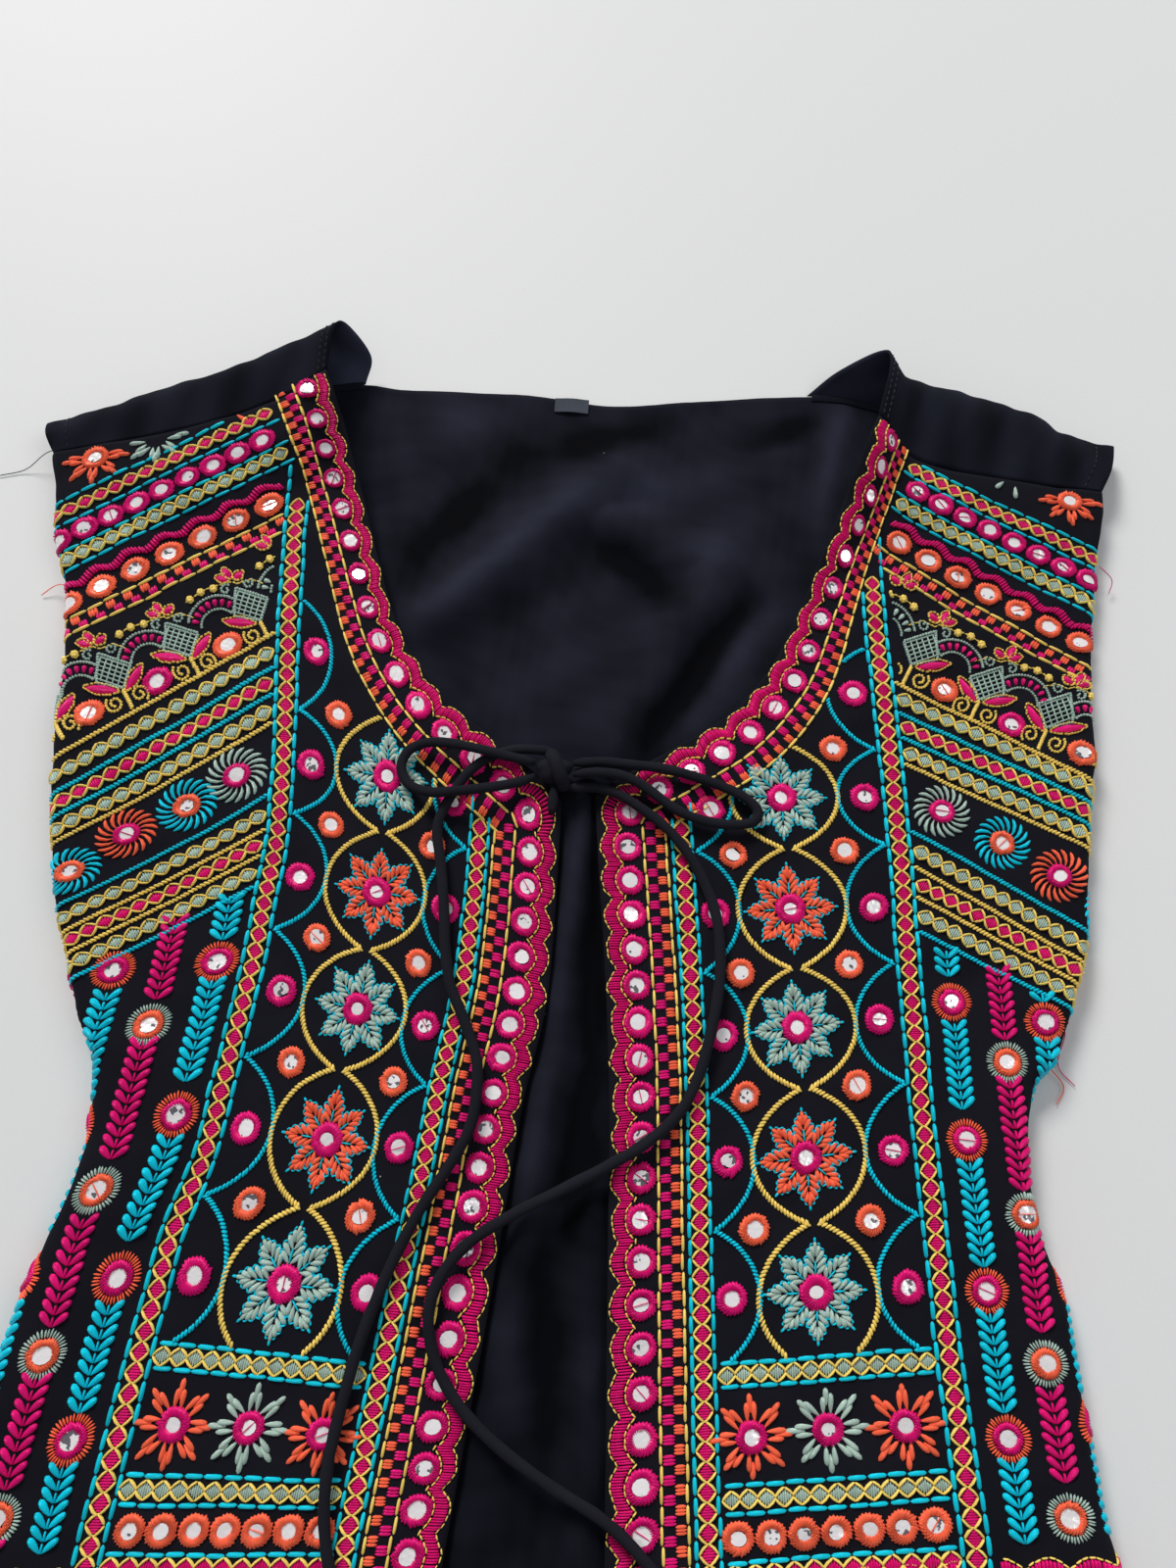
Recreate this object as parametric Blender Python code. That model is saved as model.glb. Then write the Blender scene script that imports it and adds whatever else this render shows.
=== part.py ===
# Embroidered vest, open at the front and sleeveless, lying flat on a table with its ties in a bow.
# Metres, +Z up. The hem is toward -Y, the neck toward +Y, and the wearer's right front lies at -X.

import math

import bmesh
import bpy
import numpy as np
from mathutils import Vector

# Cloth walls, and the room left between pieces
FRONT_WALL = 0.0016
BACK_WALL = 0.0012
GAP = 0.0003
FOLDED_WALL = 0.0026
EDGE_GROOVE = 0.0007

# How high the layers lie: the fronts' middle surface over the hidden folds, and at the front edge
PLATEAU = 0.0058
EDGE_LEVEL = 0.0050
EDGE_BAND = 0.030
TUCK_TOP = FRONT_WALL + GAP

# Cloth that stands up covers less of the table: the plan shrinks by its height over this span
STAND_SPAN = 0.41

# Marks on the cut of the fronts: where the neckline starts, the fan of rows to the shoulder seam, the
# side column, the middle of the tilt and the shoulder tip
CORNER_V = 0.117
SHOULDER_FAN_V = 0.200
SIDE_COLUMN_U = 0.105
TILT_CENTRE_U = 0.069
TIP_U = 0.196

# Self-fabric ties, a stuffed tube of cloth
TIE_DIAMETER = 0.0035
TIE_STEP = 0.0115
LOOP_STEP = 0.0065

# Size label sewn at the back neck
LABEL_SIZE = (0.0135, 0.0062, 0.0006)
LABEL_PLACE = (-0.0065, 0.2785)
LABEL_TURN = -0.07

LEFT = -1
RIGHT = 1

# Where the cut of each front lies on the table. v runs up the cloth, u outward from the front edge.
# Columns: v, front edge x, spread inside the side column, spread outside it, rise, inner and outer tilt
PLAN = {
    RIGHT: (
        (-0.168, 0.0045, 1.100, 1.100, 0.0, 0.060, 0.02),
        (-0.125, 0.0050, 1.075, 1.075, 0.0, 0.065, 0.02),
        (-0.070, 0.0058, 1.035, 1.035, 0.0, 0.070, 0.02),
        (-0.028, 0.0065, 1.015, 1.015, 0.0, 0.080, 0.02),
        (0.014, 0.0072, 0.995, 1.000, 0.0, 0.085, 0.02),
        (0.055, 0.0060, 1.000, 1.000, 0.0, 0.050, 0.01),
        (0.0965, 0.0035, 1.025, 1.025, 0.0, 0.020, 0.0),
        (0.135, 0.0020, 1.030, 1.030, 0.0, 0.0, 0.0),
        (0.200, 0.0, 1.030, 1.030, 0.0, -0.040, -0.08),
        (0.275, -0.0010, 1.030, 1.030, 0.0, -0.060, -0.14),
    ),
    LEFT: (
        (-0.168, 0.0510, 1.030, 1.060, 0.0, 0.0, 0.0),
        (-0.125, 0.0440, 1.030, 1.060, 0.0, 0.0, 0.0),
        (-0.0675, 0.0350, 1.012, 1.080, 0.001, 0.096, 0.0),
        (-0.028, 0.0282, 1.000, 1.100, 0.005, 0.120, 0.0),
        (0.014, 0.0218, 0.985, 1.120, 0.007, 0.170, 0.0),
        (0.055, 0.0136, 1.000, 1.120, 0.0075, 0.220, -0.08),
        (0.0965, 0.0106, 0.980, 1.120, 0.007, 0.190, -0.15),
        (0.135, 0.0090, 0.990, 1.120, 0.011, 0.150, -0.19),
        (0.170, 0.0085, 1.000, 1.120, 0.014, 0.150, -0.20),
        (0.220, 0.0080, 1.000, 1.120, 0.016, 0.150, -0.20),
        (0.275, 0.0070, 1.000, 1.120, 0.017, 0.150, -0.20),
    ),
}

# Neckline of each front. Columns: v, u
NECKLINE = {
    RIGHT: (
        (0.117, 0.0), (0.120, 0.003), (0.1335, 0.026), (0.148, 0.049), (0.170, 0.0675),
        (0.195, 0.0775), (0.219, 0.085), (0.245, 0.094), (0.275, 0.1045),
    ),
    LEFT: (
        (0.117, 0.0), (0.120, 0.003), (0.1335, 0.025), (0.148, 0.0465), (0.170, 0.063),
        (0.195, 0.072), (0.219, 0.0795), (0.245, 0.0885), (0.275, 0.099),
    ),
}

# Side seam and armhole of the fronts. Columns: v, u
SIDE_CUT = (
    (-0.168, 0.235), (0.030, 0.220), (0.050, 0.202), (0.080, 0.189),
    (0.120, 0.183), (0.160, 0.183), (0.200, 0.190), (0.2535, 0.196),
)

# Shoulder seam of the fronts. Columns: u, v, height on the left, height on the right
SHOULDER_SEAM = (
    (0.090, 0.2790, 0.0185, 0.0140),
    (0.098, 0.2750, 0.0180, 0.0135),
    (0.112, 0.2640, 0.0150, 0.0125),
    (0.140, 0.2560, 0.0122, 0.0112),
    (0.170, 0.2540, 0.0105, 0.0102),
    (0.196, 0.2535, 0.0092, 0.0092),
)

# Half width where the fronts roll under at the sides. Columns: y, half width
SILHOUETTE = {
    RIGHT: (
        (-0.168, 0.1630), (-0.126, 0.1575), (-0.102, 0.1540), (-0.071, 0.1520), (-0.047, 0.1490),
        (-0.023, 0.1428), (0.0, 0.1440), (0.015, 0.1475), (0.025, 0.1560), (0.045, 0.1650),
        (0.069, 0.1715), (0.093, 0.1750), (0.137, 0.1822), (0.158, 0.1840), (0.184, 0.1875),
        (0.205, 0.1915), (0.232, 0.1970), (0.250, 0.2000),
    ),
    LEFT: (
        (-0.168, 0.1985), (-0.100, 0.1900), (-0.064, 0.1828), (-0.047, 0.1780), (-0.023, 0.1695),
        (0.0, 0.1632), (0.022, 0.1640), (0.036, 0.1705), (0.056, 0.1770), (0.0735, 0.1830),
        (0.098, 0.1880), (0.132, 0.1920), (0.160, 0.1925), (0.187, 0.1945), (0.218, 0.2015),
        (0.242, 0.2055), (0.260, 0.2080),
    ),
}

# Side roll of the fronts. Columns: y, radius, height of its crest
ROLL = (
    (-0.168, 0.0044, 0.00964),
    (0.130, 0.0044, 0.00964),
    (0.170, 0.0035, 0.0080),
    (0.210, 0.0028, 0.0072),
    (0.250, 0.0026, 0.0085),
)

# Neck edge that stands up toward the shoulder: height, width, lean outward and upward
NECK_STAND = {RIGHT: (0.0100, 0.016, 0.0110, 0.0060), LEFT: (0.0030, 0.020, 0.0, 0.0)}

# Top edge of the back, along the shoulder pieces and the back neckline. Columns: x, y
BACK_TOP = (
    (-0.2090, 0.2585), (-0.1500, 0.2735), (-0.0895, 0.2885), (-0.0740, 0.2862), (-0.0500, 0.2850),
    (-0.0290, 0.2840), (-0.0120, 0.2820), (0.0107, 0.2785), (0.0400, 0.2805), (0.0740, 0.2825),
    (0.0880, 0.2830), (0.1420, 0.2690), (0.1720, 0.2580), (0.2020, 0.2475),
)

# How far the back's sides lie inside the side rolls. Columns: y, inset
BACK_INSET = (
    (0.0, 0.0055), (0.045, 0.0060), (0.075, 0.0120), (0.125, 0.0120), (0.165, 0.0060), (0.200, 0.0050),
)

# Places along the seam that the back looks at to stay inside a front's tucked edge
TUCK_LOOKS = (-0.022, -0.011, 0.011, 0.022)

# Soft folds of the back that show in the neck and the front gap.
# Columns: start x, start y, end x, end y, width, height
FOLDS = (
    (-0.060, 0.186, 0.010, 0.246, 0.011, 0.0062),
    (0.050, 0.206, 0.008, 0.134, 0.011, 0.0050),
    (0.005, 0.230, 0.040, 0.211, 0.010, 0.0034),
    (-0.003, 0.118, -0.017, 0.0, 0.009, 0.0052),
    (-0.017, 0.0, -0.033, -0.080, 0.009, 0.0052),
    (-0.033, -0.080, -0.042, -0.168, 0.010, 0.0048),
    (0.004, -0.020, -0.002, -0.168, 0.009, 0.0042),
)

# Shoulder pieces: a loop of cloth from the front seam over the shoulder and back down to the table.
# Columns: place along the shoulder; x, y, z of its top; x, y, z of its fold; x, y, z of its lower side;
# x and z of its back seam
SHOULDER = {
    LEFT: (
        (0.0, -0.2105, 0.2600, 0.0100, -0.2115, 0.2665, 0.0062, -0.2105, 0.2630, 0.0018, -0.2090, 0.0008),
        (0.5, -0.1560, 0.2775, 0.0142, -0.1550, 0.2845, 0.0088, -0.1525, 0.2805, 0.0022, -0.1500, 0.0008),
        (0.75, -0.1270, 0.2870, 0.0180, -0.1245, 0.2932, 0.0120, -0.1210, 0.2885, 0.0040, -0.1190, 0.0008),
        (1.0, -0.0985, 0.2985, 0.0232, -0.0945, 0.3040, 0.0180, -0.0865, 0.2970, 0.0080, -0.0895, 0.0008),
    ),
    RIGHT: (
        (0.0, 0.2015, 0.2450, 0.0100, 0.2050, 0.2565, 0.0062, 0.2040, 0.2525, 0.0018, 0.2020, 0.0008),
        (0.23, 0.1825, 0.2530, 0.0112, 0.1845, 0.2622, 0.0070, 0.1840, 0.2590, 0.0018, 0.1825, 0.0008),
        (0.36, 0.1720, 0.2600, 0.0125, 0.1735, 0.2700, 0.0082, 0.1735, 0.2662, 0.0020, 0.1720, 0.0008),
        (0.65, 0.1440, 0.2680, 0.0152, 0.1450, 0.2785, 0.0098, 0.1440, 0.2750, 0.0030, 0.1420, 0.0008),
        (0.9, 0.1230, 0.2745, 0.0195, 0.1225, 0.2845, 0.0125, 0.1160, 0.2825, 0.0050, 0.1080, 0.0008),
        (1.0, 0.1165, 0.2850, 0.0222, 0.1130, 0.2920, 0.0165, 0.0990, 0.2895, 0.0085, 0.0880, 0.0008),
    ),
}

# Grids: rows of the fronts up the cloth, and the columns of each stretch
FRONT_ROWS = (
    -0.168, -0.142, -0.117, -0.092, -0.068, -0.045, -0.023, -0.003, 0.014, 0.030, 0.046, 0.064,
    0.083, 0.101, 0.117, 0.1205, 0.127, 0.1345, 0.1425, 0.151, 0.162, 0.174, 0.187, 0.200,
)
FRONT_FAN_ROWS = 5
FLAT_COLUMNS = 12
ROLL_COLUMNS = 6
TUCK_COLUMNS = 3
BACK_ROWS = (
    -0.168, -0.148, -0.128, -0.108, -0.088, -0.068, -0.048, -0.028, -0.008, 0.010, 0.028, 0.046,
    0.064, 0.082, 0.100, 0.118, 0.134, 0.148, 0.162, 0.176, 0.190, 0.204,
)
BACK_FAN_ROWS = 5
BACK_INNER_COLUMNS = 16
BACK_OUTER_COLUMNS = 7
SHOULDER_COLUMNS = 12
SHOULDER_ROWS = 12

# Points to each stretch between two stops when a route is measured
ROUTE_STEPS = 12

# Ties. Each route is x, y, z along the middle of the tube
TIE_ROUTES = {
    "tie_left_root": ((-0.0128, 0.1080, 0.0084), (-0.0124, 0.1128, 0.0090), (-0.0121, 0.1178, 0.0098)),
    "tie_right_root": (
        (0.0086, 0.1216, 0.0080), (0.0045, 0.1234, 0.0080), (0.0, 0.1240, 0.0080), (-0.0050, 0.1239, 0.0088),
    ),
    "tie_left_loop": (
        (-0.0187, 0.1258, 0.0117), (-0.0270, 0.1274, 0.0135), (-0.0376, 0.1300, 0.0141),
        (-0.0484, 0.1327, 0.0128), (-0.0570, 0.1336, 0.0111), (-0.0638, 0.1310, 0.0104),
        (-0.0664, 0.1249, 0.0102), (-0.0633, 0.1182, 0.0108), (-0.0552, 0.1147, 0.0128),
        (-0.0470, 0.1147, 0.0141), (-0.0400, 0.1155, 0.0139), (-0.0320, 0.1171, 0.0120),
        (-0.0240, 0.1192, 0.0108), (-0.0187, 0.1212, 0.0107),
    ),
    "tie_right_loop": (
        (-0.0052, 0.1256, 0.0119), (0.0052, 0.1260, 0.0122), (0.0158, 0.1252, 0.0113),
        (0.0265, 0.1241, 0.0105), (0.0370, 0.1214, 0.0103), (0.0475, 0.1175, 0.0102),
        (0.0558, 0.1131, 0.0102), (0.0598, 0.1082, 0.0102), (0.0576, 0.1044, 0.0102),
        (0.0492, 0.1036, 0.0102), (0.0398, 0.1052, 0.0102), (0.0310, 0.1090, 0.0104),
        (0.0240, 0.1142, 0.0107), (0.0172, 0.1188, 0.0116), (0.0105, 0.1211, 0.0129),
        (0.0015, 0.1216, 0.0137), (-0.0052, 0.1212, 0.0126),
    ),
    "tie_left_tail": (
        (-0.0120, 0.1303, 0.0104), (-0.0178, 0.1312, 0.0101), (-0.0250, 0.1314, 0.0099),
        (-0.0325, 0.1296, 0.0099), (-0.0388, 0.1262, 0.0099), (-0.0437, 0.1214, 0.0099),
        (-0.0487, 0.1136, 0.0099), (-0.0522, 0.1060, 0.0099), (-0.0527, 0.0995, 0.0100),
        (-0.0513, 0.0909, 0.0100), (-0.0503, 0.0825, 0.0100), (-0.0494, 0.0728, 0.0100),
        (-0.0485, 0.0600, 0.0100), (-0.0465, 0.0480, 0.0100), (-0.0420, 0.0375, 0.0100),
        (-0.0370, 0.0236, 0.0100), (-0.0368, 0.0110, 0.0100), (-0.0390, 0.0005, 0.0100),
        (-0.0455, -0.0110, 0.0100), (-0.0533, -0.0228, 0.0100), (-0.0596, -0.0345, 0.0100),
        (-0.0650, -0.0465, 0.0100), (-0.0710, -0.0624, 0.0100), (-0.0752, -0.0788, 0.0100),
        (-0.0785, -0.0949, 0.0100), (-0.0790, -0.1095, 0.0100), (-0.0767, -0.1233, 0.0100),
        (-0.0720, -0.1370, 0.0100), (-0.0665, -0.1490, 0.0100),
    ),
    "tie_right_tail": (
        (-0.0072, 0.1171, 0.0099), (0.0030, 0.1171, 0.0098), (0.0110, 0.1146, 0.0100),
        (0.0185, 0.1097, 0.0100), (0.0256, 0.1042, 0.0100), (0.0316, 0.0978, 0.0100),
        (0.0365, 0.0903, 0.0100), (0.0408, 0.0813, 0.0100), (0.0438, 0.0720, 0.0100),
        (0.0450, 0.0600, 0.0100), (0.0440, 0.0460, 0.0100), (0.0404, 0.0300, 0.0100),
        (0.0365, 0.0180, 0.0100), (0.0300, 0.0065, 0.0100), (0.0191, -0.0030, 0.0099),
        (0.0063, -0.0103, 0.0096), (-0.0090, -0.0178, 0.0093), (-0.0250, -0.0255, 0.0098),
        (-0.0380, -0.0336, 0.0100), (-0.0460, -0.0426, 0.0100), (-0.0497, -0.0525, 0.0100),
        (-0.0489, -0.0624, 0.0100), (-0.0452, -0.0720, 0.0100), (-0.0379, -0.0820, 0.0100),
        (-0.0267, -0.0920, 0.0097), (-0.0118, -0.1020, 0.0093), (0.0040, -0.1110, 0.0093),
        (0.0150, -0.1200, 0.0098), (0.0235, -0.1310, 0.0100), (0.0280, -0.1430, 0.0100),
        (0.0292, -0.1530, 0.0100),
    ),
}

# Knot of the bow: middle and half sizes
KNOT_PLACE = (-0.0120, 0.1234, 0.0108)
KNOT_HALF = (0.0062, 0.0047, 0.0044)

# Colours of the pieces: name, colour, roughness
FINISHES = {
    "front_cotton": ((0.012, 0.011, 0.015, 1.0), 0.85),
    "back_cotton": ((0.016, 0.017, 0.023, 1.0), 0.88),
    "shoulder_cotton": ((0.014, 0.015, 0.020, 1.0), 0.88),
    "label_woven": ((0.07, 0.08, 0.10, 1.0), 0.7),
    "tie_cotton": ((0.013, 0.013, 0.017, 1.0), 0.8),
}


def read(table, column, at):
    """One column of a table at the given places in its first column, smooth and never overshooting."""
    knots = np.array([row[0] for row in table])
    values = np.array([row[column] for row in table])
    at = np.clip(np.asarray(at, dtype=float), knots[0], knots[-1])
    step = np.diff(knots)
    slope = np.diff(values) / step
    product = slope[1:] * slope[:-1]
    total = slope[1:] + slope[:-1]
    bend = np.zeros(len(knots))
    bend[0] = slope[0]
    bend[-1] = slope[-1]
    bend[1:-1] = np.where(product > 0, 2 * product / np.where(product > 0, total, 1), 0)
    i = np.clip(np.searchsorted(knots, at, side="right") - 1, 0, len(step) - 1)
    t = (at - knots[i]) / step[i]
    start = (1 + 2 * t) * (1 - t) ** 2 * values[i] + t * (1 - t) ** 2 * step[i] * bend[i]
    end = t * t * (3 - 2 * t) * values[i + 1] + t * t * (t - 1) * step[i] * bend[i + 1]
    return start + end


def ease(low, high, at):
    """0 below low, 1 above high, and a smooth step between."""
    t = np.clip((at - low) / (high - low), 0, 1)
    return t * t * (3 - 2 * t)


def blend(a, b, share):
    return a + (b - a) * share


def reach(height):
    return 1 - height / STAND_SPAN


def stand_share(side, u, v):
    """How far a point of a front belongs to the neck edge that stands up near the shoulder."""
    width = NECK_STAND[side][1]
    from_edge = u - read(NECKLINE[side], 1, v)
    return ease(0.165, 0.255, v) * np.exp(-(from_edge / width) ** 2)


def plan(side, u, v):
    """Where a point of a front's cut lies in the plan: distance from the middle, and y."""
    table = PLAN[side]
    inner = np.minimum(u, SIDE_COLUMN_U)
    outer = np.maximum(u - SIDE_COLUMN_U, 0)
    x = read(table, 1, v) + inner * read(table, 2, v) + outer * read(table, 3, v)
    y = v + read(table, 4, v) + (inner - TILT_CENTRE_U) * read(table, 5, v) + outer * read(table, 6, v)
    stand = stand_share(side, u, v)
    return x + NECK_STAND[side][2] * stand, y + NECK_STAND[side][3] * stand


def front_height(side, u, v, x, y):
    """Height of a front's middle surface before its side rolls under."""
    from_edge = u - np.where(v > CORNER_V, read(NECKLINE[side], 1, v), 0)
    level = blend(EDGE_LEVEL, PLATEAU, ease(0, EDGE_BAND, from_edge))
    edge = read(SILHOUETTE[side], 1, y)
    level = blend(level, read(ROLL, 2, y), ease(edge - 0.040, edge - 0.006, x))
    seam_v = read(SHOULDER_SEAM, 1, u)
    seam_height = read(SHOULDER_SEAM, 2 if side == LEFT else 3, u)
    level = blend(level, seam_height, ease(seam_v - 0.060, seam_v, v))
    return level + NECK_STAND[side][0] * stand_share(side, u, v)


def front_point(side, u, v):
    """The place of a point of a front's cut, with the side rolled round and tucked under."""
    plan_x, plan_y = plan(side, u, v)
    z = front_height(side, u, v, plan_x * reach(PLATEAU), plan_y * reach(PLATEAU))
    x = plan_x * reach(z)
    y = plan_y * reach(z)
    radius = read(ROLL, 1, y)
    start = read(SILHOUETTE[side], 1, y) - radius
    past = np.maximum(x - start, 0)
    angle = np.minimum(past / radius, math.pi)
    under = np.maximum(past - math.pi * radius, 0)
    x = np.where(past > 0, start + radius * np.sin(angle) - under, x)
    z = z - radius * (1 - np.cos(angle))
    return side * x, y, z


def neck_point(side):
    """Where a front's neckline meets its shoulder seam: u and v."""
    v = 0.27
    for _ in range(12):
        u = float(read(NECKLINE[side], 1, v))
        v = float(read(SHOULDER_SEAM, 1, u))
    return u, v


def roll_marks(side, v):
    """u where the side roll of a front starts and where it has turned right round, for each v."""
    table = PLAN[side]
    y = plan(side, np.full_like(v, 0.15), v)[1] * reach(PLATEAU)
    radius = read(ROLL, 1, y)
    start = (read(SILHOUETTE[side], 1, y) - radius) / reach(read(ROLL, 2, y))
    inner = read(table, 1, v) + SIDE_COLUMN_U * read(table, 2, v)
    begin = SIDE_COLUMN_U + (start - inner) / read(table, 3, v)
    return begin, begin + math.pi * radius / read(table, 3, v)


def front_cut(side, across, along):
    """Spreads a unit grid over the cut of a front: u and v of each point."""
    rows = len(FRONT_ROWS) - 1 + FRONT_FAN_ROWS
    columns = FLAT_COLUMNS + ROLL_COLUMNS + TUCK_COLUMNS
    row = along * rows
    column = across * columns
    v = np.interp(row, range(len(FRONT_ROWS)), FRONT_ROWS)
    fan = np.maximum(row - (len(FRONT_ROWS) - 1), 0) / FRONT_FAN_ROWS
    neck_v = v + fan * (neck_point(side)[1] - SHOULDER_FAN_V)
    tip_v = v + fan * (float(read(SHOULDER_SEAM, 1, TIP_U)) - SHOULDER_FAN_V)
    first = np.where(neck_v > CORNER_V, read(NECKLINE[side], 1, neck_v), 0)
    last = read(SIDE_CUT, 1, tip_v)
    begin, turned = roll_marks(side, tip_v)
    begin = np.minimum(begin, last - 0.006)
    turned = np.minimum(turned, begin + 0.75 * (last - begin))
    marks = (0, FLAT_COLUMNS, FLAT_COLUMNS + ROLL_COLUMNS, columns)
    flat = np.clip(column / FLAT_COLUMNS, 0, 1)
    rolled = np.clip((column - marks[1]) / ROLL_COLUMNS, 0, 1)
    tucked = np.clip((column - marks[2]) / TUCK_COLUMNS, 0, 1)
    u = first + (begin - first) * flat + (turned - begin) * rolled + (last - turned) * tucked
    seam_v = read(SHOULDER_SEAM, 1, u)
    v = np.where(fan > 0, SHOULDER_FAN_V + fan * (seam_v - SHOULDER_FAN_V), v)
    return u, v


def tuck_end(side, y):
    """Half width at which a front's tucked edge ends under the vest, at each y."""
    v = np.array(y, dtype=float)
    for _ in range(8):
        v = v + (y - front_point(side, read(SIDE_CUT, 1, v), v)[1])
    return np.abs(front_point(side, read(SIDE_CUT, 1, v), v)[0])


def opening_edge(side, y):
    """Half width of the opening between the fronts at each y."""
    v = np.array(y, dtype=float)
    for _ in range(8):
        u = np.where(v > CORNER_V, read(NECKLINE[side], 1, v), 0)
        v = v + 0.8 * (y - plan(side, u, v)[1] * reach(PLATEAU))
    u = np.where(v > CORNER_V, read(NECKLINE[side], 1, v), 0)
    return plan(side, u, v)[0] * reach(PLATEAU)


def both_sides(function, x, y):
    """A value of each side's own function, by which side of the middle a point is on."""
    return np.where(x < 0, function(LEFT, y), function(RIGHT, y))


def fold_height(x, y):
    """Height of the soft folds in the back, which die away under the fronts."""
    height = np.zeros_like(x)
    for start_x, start_y, end_x, end_y, width, top in FOLDS:
        run_x = end_x - start_x
        run_y = end_y - start_y
        t = ((x - start_x) * run_x + (y - start_y) * run_y) / (run_x ** 2 + run_y ** 2)
        t = np.clip(t, 0, 1)
        away = np.hypot(x - start_x - t * run_x, y - start_y - t * run_y)
        height = np.maximum(height, top * np.exp(-(away / width) ** 2))
    edge = both_sides(opening_edge, x, y)
    shown = 1 - ease(edge - 0.010, edge + 0.006, np.abs(x))
    return height * shown


def back_surfaces(x, y):
    """Heights of the underside and the top of the back."""
    tuck = both_sides(tuck_end, x, y)
    for shift in TUCK_LOOKS:
        tuck = np.minimum(tuck, both_sides(tuck_end, x, y + shift))
    half = np.abs(x)
    lift = TUCK_TOP * ease(tuck - 0.036, tuck - 0.010, half)
    doubled = ease(tuck + 0.002, tuck + 0.018, half) * (1 - ease(0.020, 0.060, y))
    under = lift + fold_height(x, y)
    return under, under + blend(BACK_WALL, FOLDED_WALL, doubled)


def back_cut(across, along):
    """Spreads a unit grid over the back: x and y of each point."""
    rows = len(BACK_ROWS) - 1 + BACK_FAN_ROWS
    columns = BACK_INNER_COLUMNS + 2 * BACK_OUTER_COLUMNS
    row = along * rows
    y = np.interp(row, range(len(BACK_ROWS)), BACK_ROWS)
    fan = np.maximum(row - (len(BACK_ROWS) - 1), 0) / BACK_FAN_ROWS
    tip_left = y + fan * (BACK_TOP[0][1] - BACK_ROWS[-1])
    tip_right = y + fan * (BACK_TOP[-1][1] - BACK_ROWS[-1])
    far_left = -(read(SILHOUETTE[LEFT], 1, tip_left) - read(BACK_INSET, 1, tip_left))
    far_right = read(SILHOUETTE[RIGHT], 1, tip_right) - read(BACK_INSET, 1, tip_right)
    far_left = blend(far_left, BACK_TOP[0][0], ease(0.5, 1.0, fan))
    far_right = blend(far_right, BACK_TOP[-1][0], ease(0.5, 1.0, fan))
    inner = 0.055 + 0.034 * ease(0.09, 0.16, y)
    column = across * columns
    left = np.clip(column / BACK_OUTER_COLUMNS, 0, 1)
    middle = np.clip((column - BACK_OUTER_COLUMNS) / BACK_INNER_COLUMNS, 0, 1)
    right = np.clip((column - BACK_OUTER_COLUMNS - BACK_INNER_COLUMNS) / BACK_OUTER_COLUMNS, 0, 1)
    x = far_left + (-inner - far_left) * left + 2 * inner * middle + (far_right - inner) * right
    y = np.where(fan > 0, BACK_ROWS[-1] + fan * (read(BACK_TOP, 1, x) - BACK_ROWS[-1]), y)
    return x, y


def shoulder_point(side, across, along):
    """A point of a shoulder piece: across from the front seam to the back one, along to the neck."""
    table = SHOULDER[side]
    neck_u = neck_point(side)[0]
    seam_u = blend(TIP_U, neck_u, along)
    seam_v = read(SHOULDER_SEAM, 1, seam_u)
    seam = np.stack(front_point(side, seam_u, seam_v), -1)
    below = np.stack(front_point(side, seam_u, seam_v - 0.004), -1)
    outward = (seam - below) / np.linalg.norm(seam - below, axis=-1)[..., None]
    seam = seam + outward * GAP * 1.4
    top = np.stack([read(table, 1, along), read(table, 2, along), read(table, 3, along)], -1)
    fold = np.stack([read(table, 4, along), read(table, 5, along), read(table, 6, along)], -1)
    lower = np.stack([read(table, 7, along), read(table, 8, along), read(table, 9, along)], -1)
    back_x = read(table, 10, along)
    back = np.stack([back_x, read(BACK_TOP, 1, back_x) + 2 * GAP, read(table, 11, along)], -1)
    stops = (seam, top, fold, lower, back)
    ghosts = (2 * seam - top,) + stops + (2 * back - lower,)
    place = np.clip(across * 4, 0, 3.999999)
    i = place.astype(int)
    t = (place - i)[..., None]
    stack = np.stack(ghosts, 0)
    pick = np.arange(len(across))
    p0, p1, p2, p3 = (stack[i + k, pick] for k in range(4))
    curve = 2 * p1 + (p2 - p0) * t + (2 * p0 - 5 * p1 + 4 * p2 - p3) * t ** 2
    curve = (curve + (3 * p1 - p0 - 3 * p2 + p3) * t ** 3) / 2
    return curve


def finish(name):
    """The material of that name, made once."""
    material = bpy.data.materials.get(name)
    if material is None:
        colour, roughness = FINISHES[name]
        material = bpy.data.materials.new(name)
        material.use_nodes = True
        surface = material.node_tree.nodes["Principled BSDF"]
        surface.inputs["Base Color"].default_value = colour
        surface.inputs["Roughness"].default_value = roughness
        surface.inputs["Metallic"].default_value = 0.0
    return material


def unit_grid(columns, rows):
    """A grid of faces, and how far across and along each of its points lies, from 0 to 1."""
    grid = bmesh.new()
    bmesh.ops.create_grid(grid, x_segments=columns, y_segments=rows, size=0.5)
    places = np.array([vertex.co[:] for vertex in grid.verts]) + 0.5
    return grid, places[:, 0], places[:, 1]


def put(grid, points):
    for vertex, point in zip(grid.verts, points):
        vertex.co = point


def add_piece(name, grid, material):
    """Turns a finished bmesh into a named object."""
    mesh = bpy.data.meshes.new(name)
    grid.to_mesh(mesh)
    grid.free()
    mesh.materials.append(finish(material))
    mesh.shade_smooth()
    piece = bpy.data.objects.new(name, mesh)
    bpy.context.collection.objects.link(piece)
    return piece


def add_wall(piece, thickness):
    """Gives a sheet its thickness, half to each side."""
    wall = piece.modifiers.new("wall", "SOLIDIFY")
    wall.thickness = thickness
    wall.offset = 0.0
    wall.use_even_offset = True


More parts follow.
